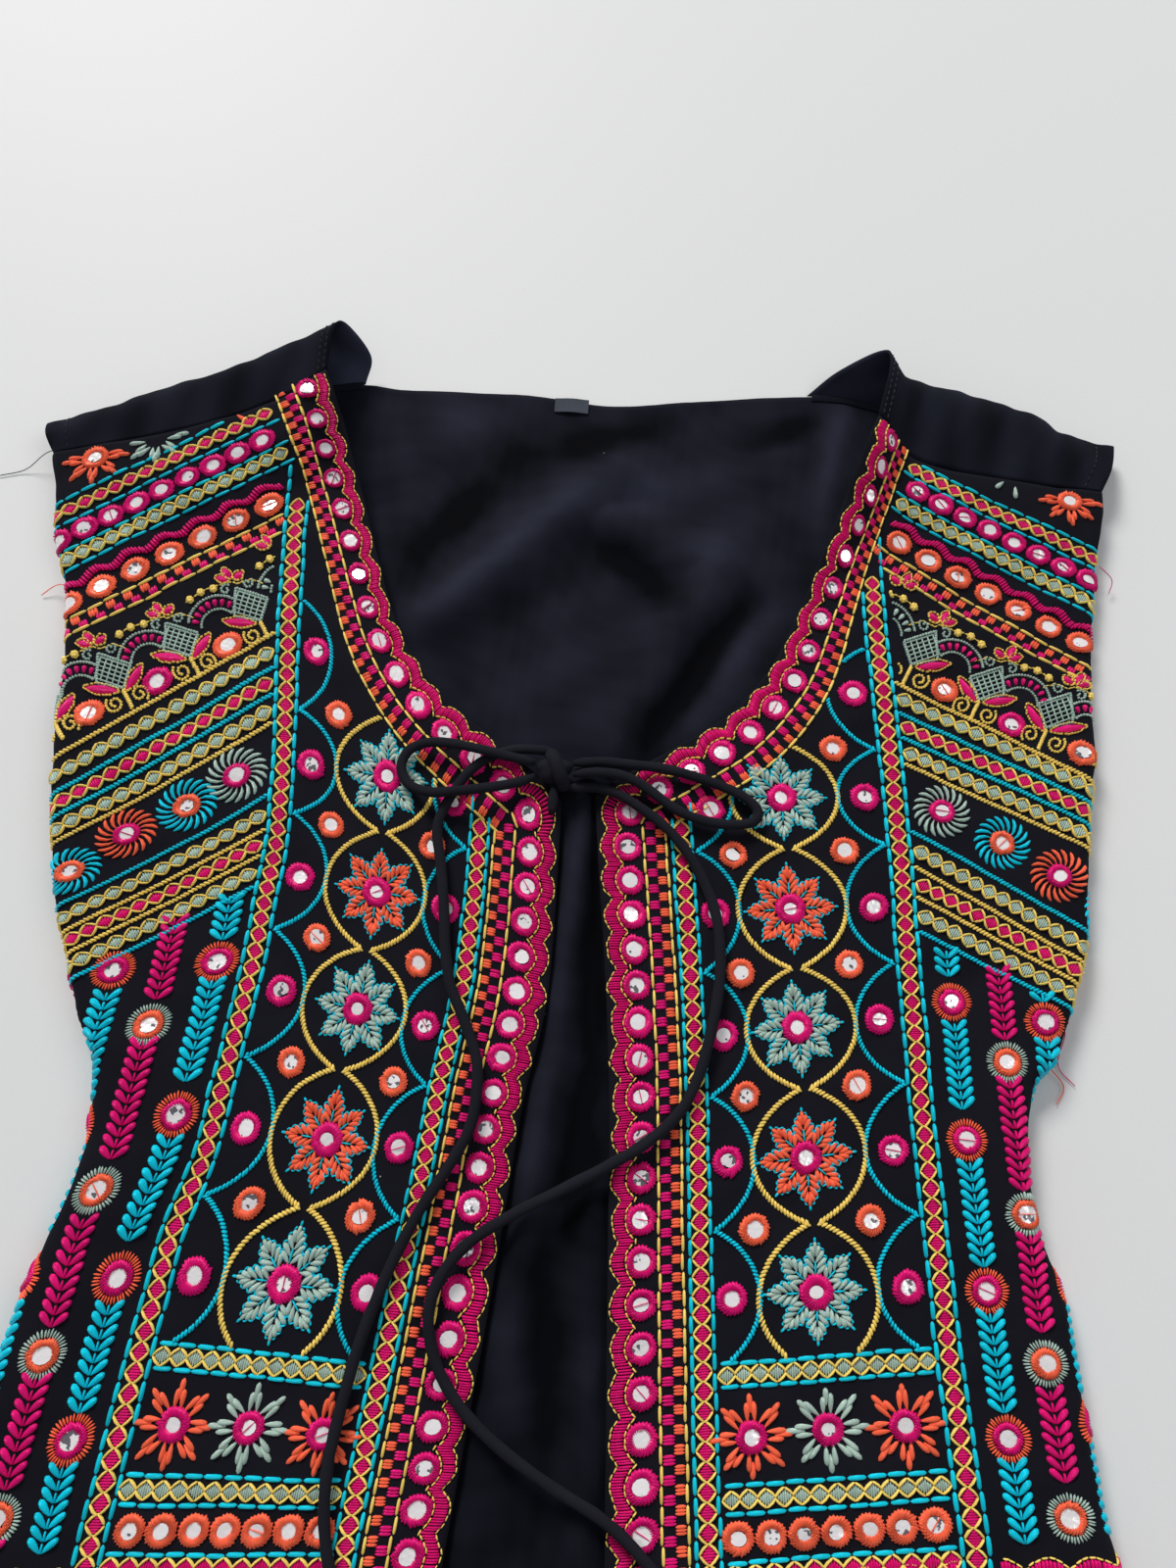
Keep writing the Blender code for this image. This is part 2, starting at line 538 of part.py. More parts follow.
def make_front(name, side):
    columns = FLAT_COLUMNS + ROLL_COLUMNS + TUCK_COLUMNS
    rows = len(FRONT_ROWS) - 1 + FRONT_FAN_ROWS
    grid, across, along = unit_grid(columns, rows)
    u, v = front_cut(side, across, along)
    put(grid, np.stack(front_point(side, u, v), -1))
    piece = add_piece(name, grid, "front_cotton")
    add_wall(piece, FRONT_WALL)
    return piece


def make_shoulder(name, side):
    grid, across, along = unit_grid(SHOULDER_ROWS, SHOULDER_COLUMNS)
    put(grid, shoulder_point(side, across, along))
    piece = add_piece(name, grid, "shoulder_cotton")
    add_wall(piece, BACK_WALL)
    return piece


def make_back(name):
    """The back, flat below, with its edge grooved where hidden layers lie folded together."""
    columns = BACK_INNER_COLUMNS + 2 * BACK_OUTER_COLUMNS
    rows = len(BACK_ROWS) - 1 + BACK_FAN_ROWS
    grid, across, along = unit_grid(columns, rows)
    x, y = back_cut(across, along)
    under, top = back_surfaces(x, y)
    put(grid, np.stack([x, y, under], -1))
    heights = {tuple(vertex.co): height for vertex, height in zip(grid.verts, top)}
    made = bmesh.ops.extrude_face_region(grid, geom=list(grid.faces))["geom"]
    for vertex in (item for item in made if isinstance(item, bmesh.types.BMVert)):
        vertex.co.z = heights[tuple(vertex.co)]
    bmesh.ops.recalc_face_normals(grid, faces=grid.faces)
    rim = [edge for edge in grid.edges if edge.verts[0].co.xy == edge.verts[1].co.xy]
    cut = bmesh.ops.subdivide_edges(grid, edges=rim, cuts=1)["geom_inner"]
    grid.normal_update()
    for vertex in (item for item in cut if isinstance(item, bmesh.types.BMVert)):
        levels = [edge.other_vert(vertex).co.z for edge in vertex.link_edges]
        extra = (max(levels) - min(levels) - BACK_WALL) / (FOLDED_WALL - BACK_WALL)
        vertex.co -= vertex.normal * EDGE_GROOVE * extra
    return add_piece(name, grid, "back_cotton")


def make_label(name):
    """The blank woven label, lying on the back at the neck."""
    grid = bmesh.new()
    bmesh.ops.create_cube(grid, size=1.0)
    bmesh.ops.scale(grid, vec=LABEL_SIZE, verts=grid.verts)
    place = np.array([LABEL_PLACE])
    top = back_surfaces(place[:, 0], place[:, 1])[1][0]
    piece = add_piece(name, grid, "label_woven")
    piece.location = (*LABEL_PLACE, top + GAP + LABEL_SIZE[2] / 2)
    piece.rotation_euler = (0, 0, LABEL_TURN)
    return piece


def smooth_route(stops, step):
    """Points about a step apart on a smooth curve through the stops."""
    stops = [Vector(stop) for stop in stops]
    guide = [2 * stops[0] - stops[1], *stops, 2 * stops[-1] - stops[-2]]
    fine = []
    for p0, p1, p2, p3 in zip(guide, guide[1:], guide[2:], guide[3:]):
        for i in range(ROUTE_STEPS):
            t = i / ROUTE_STEPS
            point = 2 * p1 + (p2 - p0) * t + (2 * p0 - 5 * p1 + 4 * p2 - p3) * t ** 2
            fine.append((point + (3 * p1 - p0 - 3 * p2 + p3) * t ** 3) / 2)
    fine.append(guide[-2])
    lengths = [0.0]
    for a, b in zip(fine, fine[1:]):
        lengths.append(lengths[-1] + (b - a).length)
    count = max(3, round(lengths[-1] / step) + 1)
    wanted = np.linspace(0, lengths[-1], count)
    return [tuple(float(np.interp(w, lengths, [p[k] for p in fine])) for k in range(3)) for w in wanted]


def make_tie(name, stops):
    """A stretch of tie as a round tube with closed ends."""
    points = smooth_route(stops, LOOP_STEP if name.endswith("loop") else TIE_STEP)
    curve = bpy.data.curves.new(name, "CURVE")
    curve.dimensions = "3D"
    curve.bevel_depth = TIE_DIAMETER / 2
    curve.bevel_resolution = 2
    curve.use_fill_caps = True
    line = curve.splines.new("POLY")
    line.points.add(len(points) - 1)
    for point, place in zip(line.points, points):
        point.co = (*place, 1.0)
    curve.materials.append(finish("tie_cotton"))
    tie = bpy.data.objects.new(name, curve)
    bpy.context.collection.objects.link(tie)
    return tie


def make_knot(name):
    ball = bmesh.new()
    bmesh.ops.create_uvsphere(ball, u_segments=12, v_segments=8, radius=1.0)
    bmesh.ops.scale(ball, vec=KNOT_HALF, verts=ball.verts)
    piece = add_piece(name, ball, "tie_cotton")
    piece.location = KNOT_PLACE
    return piece


def box_middle(pieces):
    """The middle of the pieces' box on the table."""
    bpy.context.view_layer.update()
    graph = bpy.context.evaluated_depsgraph_get()
    low = np.full(3, np.inf)
    high = np.full(3, -np.inf)
    for piece in pieces:
        shown = piece.evaluated_get(graph)
        mesh = shown.to_mesh()
        for vertex in mesh.vertices:
            place = shown.matrix_world @ vertex.co
            low = np.minimum(low, place)
            high = np.maximum(high, place)
        shown.to_mesh_clear()
    return (low + high) / 2


def make_vest():
    for old in list(bpy.data.objects):
        bpy.data.objects.remove(old)
    cloth = [
        make_back("back"),
        make_front("front_left", LEFT),
        make_front("front_right", RIGHT),
        make_shoulder("shoulder_left", LEFT),
        make_shoulder("shoulder_right", RIGHT),
        make_label("neck_label"),
    ]
    ties = [make_knot("tie_knot")]
    for name, stops in TIE_ROUTES.items():
        ties.append(make_tie(name, stops))
    middle = box_middle(cloth)
    vest = bpy.data.objects.new("vest", None)
    bpy.context.collection.objects.link(vest)
    for piece in cloth + ties:
        piece.parent = vest
    vest.location = (-middle[0], -middle[1], 0.0)


make_vest()
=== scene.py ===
# Looks of the embroidered vest: cloth, floss, mirrors, ties and label over its solids.
# Metres in the table frame of the cut's tables; build_mesh moves points into the row frame.

import math

import bmesh
import bpy
import numpy as np
from mathutils import Matrix, Vector


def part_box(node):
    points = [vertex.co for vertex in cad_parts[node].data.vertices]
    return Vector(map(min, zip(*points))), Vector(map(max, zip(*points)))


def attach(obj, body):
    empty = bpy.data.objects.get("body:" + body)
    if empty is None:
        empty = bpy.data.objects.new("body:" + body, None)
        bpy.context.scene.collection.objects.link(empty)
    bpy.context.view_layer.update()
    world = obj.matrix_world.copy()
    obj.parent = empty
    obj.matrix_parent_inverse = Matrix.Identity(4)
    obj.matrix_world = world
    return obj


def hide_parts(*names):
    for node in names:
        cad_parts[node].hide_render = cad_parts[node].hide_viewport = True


# Cloth walls, and the room left between pieces
FRONT_WALL = 0.0016
BACK_WALL = 0.0012
GAP = 0.0003
FOLDED_WALL = 0.0026

# How high the layers lie: the fronts' middle surface over the hidden folds, and at the front edge
PLATEAU = 0.0058
EDGE_LEVEL = 0.0050
EDGE_BAND = 0.030
TUCK_TOP = FRONT_WALL + GAP

# Cloth that stands up covers less of the table: the plan shrinks by its height over this span
STAND_SPAN = 0.41

# Marks on the cut of the fronts: where the neckline starts, the fan of rows to the shoulder seam, the
# side column, the middle of the tilt and the shoulder tip
CORNER_V = 0.117
SHOULDER_FAN_V = 0.200
SIDE_COLUMN_U = 0.105
TILT_CENTRE_U = 0.069
TIP_U = 0.196

# Size label sewn at the back neck
LABEL_SIZE = (0.0135, 0.0062, 0.0006)
LABEL_PLACE = (-0.0065, 0.2785)
LABEL_TURN = -0.07

LEFT = -1
RIGHT = 1
WORDS = {LEFT: "left", RIGHT: "right"}

# Where the cut of each front lies on the table. v runs up the cloth, u outward from the front edge.
# Columns: v, front edge x, spread inside the side column, spread outside it, rise, inner and outer tilt
PLAN = {
    RIGHT: (
        (-0.168, 0.0045, 1.100, 1.100, 0.0, 0.060, 0.02),
        (-0.125, 0.0050, 1.075, 1.075, 0.0, 0.065, 0.02),
        (-0.070, 0.0058, 1.035, 1.035, 0.0, 0.070, 0.02),
        (-0.028, 0.0065, 1.015, 1.015, 0.0, 0.080, 0.02),
        (0.014, 0.0072, 0.995, 1.000, 0.0, 0.085, 0.02),
        (0.055, 0.0060, 1.000, 1.000, 0.0, 0.050, 0.01),
        (0.0965, 0.0035, 1.025, 1.025, 0.0, 0.020, 0.0),
        (0.135, 0.0020, 1.030, 1.030, 0.0, 0.0, 0.0),
        (0.200, 0.0, 1.030, 1.030, 0.0, -0.040, -0.08),
        (0.275, -0.0010, 1.030, 1.030, 0.0, -0.060, -0.14),
    ),
    LEFT: (
        (-0.168, 0.0510, 1.030, 1.060, 0.0, 0.0, 0.0),
        (-0.125, 0.0440, 1.030, 1.060, 0.0, 0.0, 0.0),
        (-0.0675, 0.0350, 1.012, 1.080, 0.001, 0.096, 0.0),
        (-0.028, 0.0282, 1.000, 1.100, 0.005, 0.120, 0.0),
        (0.014, 0.0218, 0.985, 1.120, 0.007, 0.170, 0.0),
        (0.055, 0.0136, 1.000, 1.120, 0.0075, 0.220, -0.08),
        (0.0965, 0.0106, 0.980, 1.120, 0.007, 0.190, -0.15),
        (0.135, 0.0090, 0.990, 1.120, 0.011, 0.150, -0.19),
        (0.170, 0.0085, 1.000, 1.120, 0.014, 0.150, -0.20),
        (0.220, 0.0080, 1.000, 1.120, 0.016, 0.150, -0.20),
        (0.275, 0.0070, 1.000, 1.120, 0.017, 0.150, -0.20),
    ),
}

# Neckline of each front. Columns: v, u
NECKLINE = {
    RIGHT: (
        (0.117, 0.0), (0.120, 0.003), (0.1335, 0.026), (0.148, 0.049), (0.170, 0.0675),
        (0.195, 0.0775), (0.219, 0.085), (0.245, 0.094), (0.275, 0.1045),
    ),
    LEFT: (
        (0.117, 0.0), (0.120, 0.003), (0.1335, 0.025), (0.148, 0.0465), (0.170, 0.063),
        (0.195, 0.072), (0.219, 0.0795), (0.245, 0.0885), (0.275, 0.099),
    ),
}

# Side seam and armhole of the fronts. Columns: v, u
SIDE_CUT = (
    (-0.168, 0.235), (0.030, 0.220), (0.050, 0.202), (0.080, 0.189),
    (0.120, 0.183), (0.160, 0.183), (0.200, 0.190), (0.2535, 0.196),
)

# Shoulder seam of the fronts. Columns: u, v, height on the left, height on the right
SHOULDER_SEAM = (
    (0.090, 0.2790, 0.0185, 0.0140),
    (0.098, 0.2750, 0.0180, 0.0135),
    (0.112, 0.2640, 0.0150, 0.0125),
    (0.140, 0.2560, 0.0122, 0.0112),
    (0.170, 0.2540, 0.0105, 0.0102),
    (0.196, 0.2535, 0.0092, 0.0092),
)

# Half width where the fronts roll under at the sides. Columns: y, half width
SILHOUETTE = {
    RIGHT: (
        (-0.168, 0.1630), (-0.126, 0.1575), (-0.102, 0.1540), (-0.071, 0.1520), (-0.047, 0.1490),
        (-0.023, 0.1428), (0.0, 0.1440), (0.015, 0.1475), (0.025, 0.1560), (0.045, 0.1650),
        (0.069, 0.1715), (0.093, 0.1750), (0.137, 0.1822), (0.158, 0.1840), (0.184, 0.1875),
        (0.205, 0.1915), (0.232, 0.1970), (0.250, 0.2000),
    ),
    LEFT: (
        (-0.168, 0.1985), (-0.100, 0.1900), (-0.064, 0.1828), (-0.047, 0.1780), (-0.023, 0.1695),
        (0.0, 0.1632), (0.022, 0.1640), (0.036, 0.1705), (0.056, 0.1770), (0.0735, 0.1830),
        (0.098, 0.1880), (0.132, 0.1920), (0.160, 0.1925), (0.187, 0.1945), (0.218, 0.2015),
        (0.242, 0.2055), (0.260, 0.2080),
    ),
}

# Side roll of the fronts. Columns: y, radius, height of its crest
ROLL = (
    (-0.168, 0.0044, 0.00964),
    (0.130, 0.0044, 0.00964),
    (0.170, 0.0035, 0.0080),
    (0.210, 0.0028, 0.0072),
    (0.250, 0.0026, 0.0085),
)

# Neck edge that stands up toward the shoulder: height, width, lean outward and upward
NECK_STAND = {RIGHT: (0.0100, 0.016, 0.0110, 0.0060), LEFT: (0.0030, 0.020, 0.0, 0.0)}

# Top edge of the back, along the shoulder pieces and the back neckline. Columns: x, y
BACK_TOP = (
    (-0.2090, 0.2585), (-0.1500, 0.2735), (-0.0895, 0.2885), (-0.0740, 0.2862), (-0.0500, 0.2850),
    (-0.0290, 0.2840), (-0.0120, 0.2820), (0.0107, 0.2785), (0.0400, 0.2805), (0.0740, 0.2825),
    (0.0880, 0.2830), (0.1420, 0.2690), (0.1720, 0.2580), (0.2020, 0.2475),
)

# How far the back's sides lie inside the side rolls. Columns: y, inset
BACK_INSET = (
    (0.0, 0.0055), (0.045, 0.0060), (0.075, 0.0120), (0.125, 0.0120), (0.165, 0.0060), (0.200, 0.0050),
)

# Places along the seam that the back looks at to stay inside a front's tucked edge
TUCK_LOOKS = (-0.022, -0.011, 0.011, 0.022)

# Soft folds of the back that show in the neck and the front gap.
# Columns: start x, start y, end x, end y, width, height
FOLDS = (
    (-0.060, 0.186, 0.010, 0.246, 0.011, 0.0062),
    (0.050, 0.206, 0.008, 0.134, 0.011, 0.0050),
    (0.005, 0.230, 0.040, 0.211, 0.010, 0.0034),
    (-0.003, 0.118, -0.017, 0.0, 0.009, 0.0052),
    (-0.017, 0.0, -0.033, -0.080, 0.009, 0.0052),
    (-0.033, -0.080, -0.042, -0.168, 0.010, 0.0048),
    (0.004, -0.020, -0.002, -0.168, 0.009, 0.0042),
)

# Shoulder pieces: a loop of cloth from the front seam over the shoulder and back down to the table.
# Columns: place along the shoulder; x, y, z of its top; x, y, z of its fold; x, y, z of its lower side;
# x and z of its back seam
SHOULDER = {
    LEFT: (
        (0.0, -0.2105, 0.2600, 0.0100, -0.2115, 0.2665, 0.0062, -0.2105, 0.2630, 0.0018, -0.2090, 0.0008),
        (0.5, -0.1560, 0.2775, 0.0142, -0.1550, 0.2845, 0.0088, -0.1525, 0.2805, 0.0022, -0.1500, 0.0008),
        (0.75, -0.1270, 0.2870, 0.0180, -0.1245, 0.2932, 0.0120, -0.1210, 0.2885, 0.0040, -0.1190, 0.0008),
        (1.0, -0.0985, 0.2985, 0.0232, -0.0945, 0.3040, 0.0180, -0.0865, 0.2970, 0.0080, -0.0895, 0.0008),
    ),
    RIGHT: (
        (0.0, 0.2015, 0.2450, 0.0100, 0.2050, 0.2565, 0.0062, 0.2040, 0.2525, 0.0018, 0.2020, 0.0008),
        (0.23, 0.1825, 0.2530, 0.0112, 0.1845, 0.2622, 0.0070, 0.1840, 0.2590, 0.0018, 0.1825, 0.0008),
        (0.36, 0.1720, 0.2600, 0.0125, 0.1735, 0.2700, 0.0082, 0.1735, 0.2662, 0.0020, 0.1720, 0.0008),
        (0.65, 0.1440, 0.2680, 0.0152, 0.1450, 0.2785, 0.0098, 0.1440, 0.2750, 0.0030, 0.1420, 0.0008),
        (0.9, 0.1230, 0.2745, 0.0195, 0.1225, 0.2845, 0.0125, 0.1160, 0.2825, 0.0050, 0.1080, 0.0008),
        (1.0, 0.1165, 0.2850, 0.0222, 0.1130, 0.2920, 0.0165, 0.0990, 0.2895, 0.0085, 0.0880, 0.0008),
    ),
}

# Ties. Each route is x, y, z along the middle of the tube
TIE_DIAMETER = 0.0035
TIE_ROUTES = {
    "tie_left_root": ((-0.0128, 0.1080, 0.0084), (-0.0124, 0.1128, 0.0090), (-0.0121, 0.1178, 0.0098)),
    "tie_right_root": (
        (0.0086, 0.1216, 0.0080), (0.0045, 0.1234, 0.0080), (0.0, 0.1240, 0.0080),
        (-0.0050, 0.1239, 0.0088),
    ),
    "tie_left_loop": (
        (-0.0187, 0.1258, 0.0117), (-0.0270, 0.1274, 0.0135), (-0.0376, 0.1300, 0.0141),
        (-0.0484, 0.1327, 0.0128), (-0.0570, 0.1336, 0.0111), (-0.0638, 0.1310, 0.0104),
        (-0.0664, 0.1249, 0.0102), (-0.0633, 0.1182, 0.0108), (-0.0552, 0.1147, 0.0128),
        (-0.0470, 0.1147, 0.0141), (-0.0400, 0.1155, 0.0139), (-0.0320, 0.1171, 0.0120),
        (-0.0240, 0.1192, 0.0108), (-0.0187, 0.1212, 0.0107),
    ),
    "tie_right_loop": (
        (-0.0052, 0.1256, 0.0119), (0.0052, 0.1260, 0.0122), (0.0158, 0.1252, 0.0113),
        (0.0265, 0.1241, 0.0105), (0.0370, 0.1214, 0.0103), (0.0475, 0.1175, 0.0102),
        (0.0558, 0.1131, 0.0102), (0.0598, 0.1082, 0.0102), (0.0576, 0.1044, 0.0102),
        (0.0492, 0.1036, 0.0102), (0.0398, 0.1052, 0.0102), (0.0310, 0.1090, 0.0104),
        (0.0240, 0.1142, 0.0107), (0.0172, 0.1188, 0.0116), (0.0105, 0.1211, 0.0129),
        (0.0015, 0.1216, 0.0137), (-0.0052, 0.1212, 0.0126),
    ),
    "tie_left_tail": (
        (-0.0120, 0.1303, 0.0104), (-0.0178, 0.1312, 0.0101), (-0.0250, 0.1314, 0.0099),
        (-0.0325, 0.1296, 0.0099), (-0.0388, 0.1262, 0.0099), (-0.0437, 0.1214, 0.0099),
        (-0.0487, 0.1136, 0.0099), (-0.0522, 0.1060, 0.0099), (-0.0527, 0.0995, 0.0100),
        (-0.0513, 0.0909, 0.0100), (-0.0503, 0.0825, 0.0100), (-0.0494, 0.0728, 0.0100),
        (-0.0485, 0.0600, 0.0100), (-0.0465, 0.0480, 0.0100), (-0.0420, 0.0375, 0.0100),
        (-0.0370, 0.0236, 0.0100), (-0.0368, 0.0110, 0.0100), (-0.0390, 0.0005, 0.0100),
        (-0.0455, -0.0110, 0.0100), (-0.0533, -0.0228, 0.0100), (-0.0596, -0.0345, 0.0100),
        (-0.0650, -0.0465, 0.0100), (-0.0710, -0.0624, 0.0100), (-0.0752, -0.0788, 0.0100),
        (-0.0785, -0.0949, 0.0100), (-0.0790, -0.1095, 0.0100), (-0.0767, -0.1233, 0.0100),
        (-0.0720, -0.1370, 0.0100), (-0.0665, -0.1490, 0.0100),
    ),
    "tie_right_tail": (
        (-0.0072, 0.1171, 0.0099), (0.0030, 0.1171, 0.0098), (0.0110, 0.1146, 0.0100),
        (0.0185, 0.1097, 0.0100), (0.0256, 0.1042, 0.0100), (0.0316, 0.0978, 0.0100),
        (0.0365, 0.0903, 0.0100), (0.0408, 0.0813, 0.0100), (0.0438, 0.0720, 0.0100),
        (0.0450, 0.0600, 0.0100), (0.0440, 0.0460, 0.0100), (0.0404, 0.0300, 0.0100),
        (0.0365, 0.0180, 0.0100), (0.0300, 0.0065, 0.0100), (0.0191, -0.0030, 0.0099),
        (0.0063, -0.0103, 0.0096), (-0.0090, -0.0178, 0.0093), (-0.0250, -0.0255, 0.0098),
        (-0.0380, -0.0336, 0.0100), (-0.0460, -0.0426, 0.0100), (-0.0497, -0.0525, 0.0100),
        (-0.0489, -0.0624, 0.0100), (-0.0452, -0.0720, 0.0100), (-0.0379, -0.0820, 0.0100),
        (-0.0267, -0.0920, 0.0097), (-0.0118, -0.1020, 0.0093), (0.0040, -0.1110, 0.0093),
        (0.0150, -0.1200, 0.0098), (0.0235, -0.1310, 0.0100), (0.0280, -0.1430, 0.0100),
        (0.0292, -0.1530, 0.0100),
    ),
}

# Knot of the bow: middle and half sizes
KNOT_PLACE = (-0.0120, 0.1234, 0.0108)
KNOT_HALF = (0.0062, 0.0047, 0.0044)


def read(table, column, at):
    """One column of a table at the given places in its first column, smooth and never overshooting."""
    knots = np.array([row[0] for row in table])
    values = np.array([row[column] for row in table])
    at = np.clip(np.asarray(at, dtype=float), knots[0], knots[-1])
    step = np.diff(knots)
    slope = np.diff(values) / step
    product = slope[1:] * slope[:-1]
    total = slope[1:] + slope[:-1]
    bend = np.zeros(len(knots))
    bend[0] = slope[0]
    bend[-1] = slope[-1]
    bend[1:-1] = np.where(product > 0, 2 * product / np.where(product > 0, total, 1), 0)
    i = np.clip(np.searchsorted(knots, at, side="right") - 1, 0, len(step) - 1)
    t = (at - knots[i]) / step[i]
    start = (1 + 2 * t) * (1 - t) ** 2 * values[i] + t * (1 - t) ** 2 * step[i] * bend[i]
    end = t * t * (3 - 2 * t) * values[i + 1] + t * t * (t - 1) * step[i] * bend[i + 1]
    return start + end


def ease(low, high, at):
    """0 below low, 1 above high, and a smooth step between."""
    t = np.clip((at - low) / (high - low), 0, 1)
    return t * t * (3 - 2 * t)


def blend(a, b, share):
    return a + (b - a) * share


def path_lengths(points):
    """Length along a line of points in the plane up to each of them."""
    return np.concatenate([[0], np.cumsum(np.hypot(*np.diff(points, axis=0).T))])


def path_lengths_in_space(points):
    """Length along a line of points in space up to each of them."""
    return np.concatenate([[0], np.cumsum(np.linalg.norm(np.diff(points, axis=0), axis=1))])


def at_lengths(wanted, lengths, points):
    """Points at the wanted lengths along a line."""
    return np.stack([np.interp(wanted, lengths, column) for column in points.T], -1)


def unit(vectors):
    """Vectors in space brought to length one."""
    return vectors / np.linalg.norm(vectors, axis=-1)[..., None]


def plane_unit(vectors):
    """Vectors in the plane brought to length one."""
    return vectors / np.maximum(np.hypot(*vectors.T), 1e-9)[:, None]


def headings(turn):
    """Unit vectors in the plane at the given angles."""
    return np.stack([np.cos(turn), np.sin(turn)], -1)


def curve_between(p0, p1, p2, p3, t):
    """A smooth curve from p1 to p2 that heads the way its neighbours lie."""
    curve = 2 * p1 + (p2 - p0) * t + (2 * p0 - 5 * p1 + 4 * p2 - p3) * t ** 2
    return (curve + (3 * p1 - p0 - 3 * p2 + p3) * t ** 3) / 2


def near_line(x, y, start_x, start_y, end_x, end_y):
    """How far along a straight line the nearest place to each point is, and how far off the point is."""
    run_x = end_x - start_x
    run_y = end_y - start_y
    t = ((x - start_x) * run_x + (y - start_y) * run_y) / (run_x ** 2 + run_y ** 2)
    t = np.clip(t, 0, 1)
    return t, np.hypot(x - start_x - t * run_x, y - start_y - t * run_y)


def reach(height):
    return 1 - height / STAND_SPAN


def stand_share(side, u, v):
    """How far a point of a front belongs to the neck edge that stands up near the shoulder."""
    width = NECK_STAND[side][1]
    from_edge = u - read(NECKLINE[side], 1, v)
    return ease(0.165, 0.255, v) * np.exp(-(from_edge / width) ** 2)


def plan(side, u, v):
    """Where a point of a front's cut lies in the plan: distance from the middle, and y."""
    table = PLAN[side]
    inner = np.minimum(u, SIDE_COLUMN_U)
    outer = np.maximum(u - SIDE_COLUMN_U, 0)
    x = read(table, 1, v) + inner * read(table, 2, v) + outer * read(table, 3, v)
    y = v + read(table, 4, v) + (inner - TILT_CENTRE_U) * read(table, 5, v) + outer * read(table, 6, v)
    stand = stand_share(side, u, v)
    return x + NECK_STAND[side][2] * stand, y + NECK_STAND[side][3] * stand


def front_height(side, u, v, x, y):
    """Height of a front's middle surface before its side rolls under."""
    from_edge = u - np.where(v > CORNER_V, read(NECKLINE[side], 1, v), 0)
    level = blend(EDGE_LEVEL, PLATEAU, ease(0, EDGE_BAND, from_edge))
    edge = read(SILHOUETTE[side], 1, y)
    level = blend(level, read(ROLL, 2, y), ease(edge - 0.040, edge - 0.006, x))
    seam_v = read(SHOULDER_SEAM, 1, u)
    seam_height = read(SHOULDER_SEAM, 2 if side == LEFT else 3, u)
    level = blend(level, seam_height, ease(seam_v - 0.060, seam_v, v))
    return level + NECK_STAND[side][0] * stand_share(side, u, v)


def front_point(side, u, v):
    """The place of a point of a front's cut, with the side rolled round and tucked under."""
    plan_x, plan_y = plan(side, u, v)
    z = front_height(side, u, v, plan_x * reach(PLATEAU), plan_y * reach(PLATEAU))
    x = plan_x * reach(z)
    y = plan_y * reach(z)
    radius = read(ROLL, 1, y)
    start = read(SILHOUETTE[side], 1, y) - radius
    past = np.maximum(x - start, 0)
    angle = np.minimum(past / radius, math.pi)
    under = np.maximum(past - math.pi * radius, 0)
    x = np.where(past > 0, start + radius * np.sin(angle) - under, x)
    z = z - radius * (1 - np.cos(angle))
    return side * x, y, z


def neck_point(side):
    """Where a front's neckline meets its shoulder seam: u and v."""
    v = 0.27
    for _ in range(12):
        u = float(read(NECKLINE[side], 1, v))
        v = float(read(SHOULDER_SEAM, 1, u))
    return u, v


def tuck_end(side, y):
    """Half width at which a front's tucked edge ends under the vest, at each y."""
    v = np.array(y, dtype=float)
    for _ in range(8):
        v = v + (y - front_point(side, read(SIDE_CUT, 1, v), v)[1])
    return np.abs(front_point(side, read(SIDE_CUT, 1, v), v)[0])


def opening_edge(side, y):
    """Half width of the opening between the fronts at each y."""
    v = np.array(y, dtype=float)
    for _ in range(8):
        u = np.where(v > CORNER_V, read(NECKLINE[side], 1, v), 0)
        v = v + 0.8 * (y - plan(side, u, v)[1] * reach(PLATEAU))
    u = np.where(v > CORNER_V, read(NECKLINE[side], 1, v), 0)
    return plan(side, u, v)[0] * reach(PLATEAU)


def both_sides(function, x, y):
    """A value of each side's own function, by which side of the middle a point is on."""
    return np.where(x < 0, function(LEFT, y), function(RIGHT, y))


def fold_height(x, y):
    """Height of the soft folds in the back, which die away under the fronts."""
    height = np.zeros_like(x)
    for *ends, width, top in FOLDS:
        away = near_line(x, y, *ends)[1]
        height = np.maximum(height, top * np.exp(-(away / width) ** 2))
    edge = both_sides(opening_edge, x, y)
    shown = 1 - ease(edge - 0.010, edge + 0.006, np.abs(x))
    return height * shown


def back_height(x, y):
    """Height of the top of the back."""
    tuck = both_sides(tuck_end, x, y)
    for shift in TUCK_LOOKS:
        tuck = np.minimum(tuck, both_sides(tuck_end, x, y + shift))
    half = np.abs(x)
    lift = TUCK_TOP * ease(tuck - 0.036, tuck - 0.010, half)
    doubled = ease(tuck + 0.002, tuck + 0.018, half) * (1 - ease(0.020, 0.060, y))
    return lift + fold_height(x, y) + blend(BACK_WALL, FOLDED_WALL, doubled)


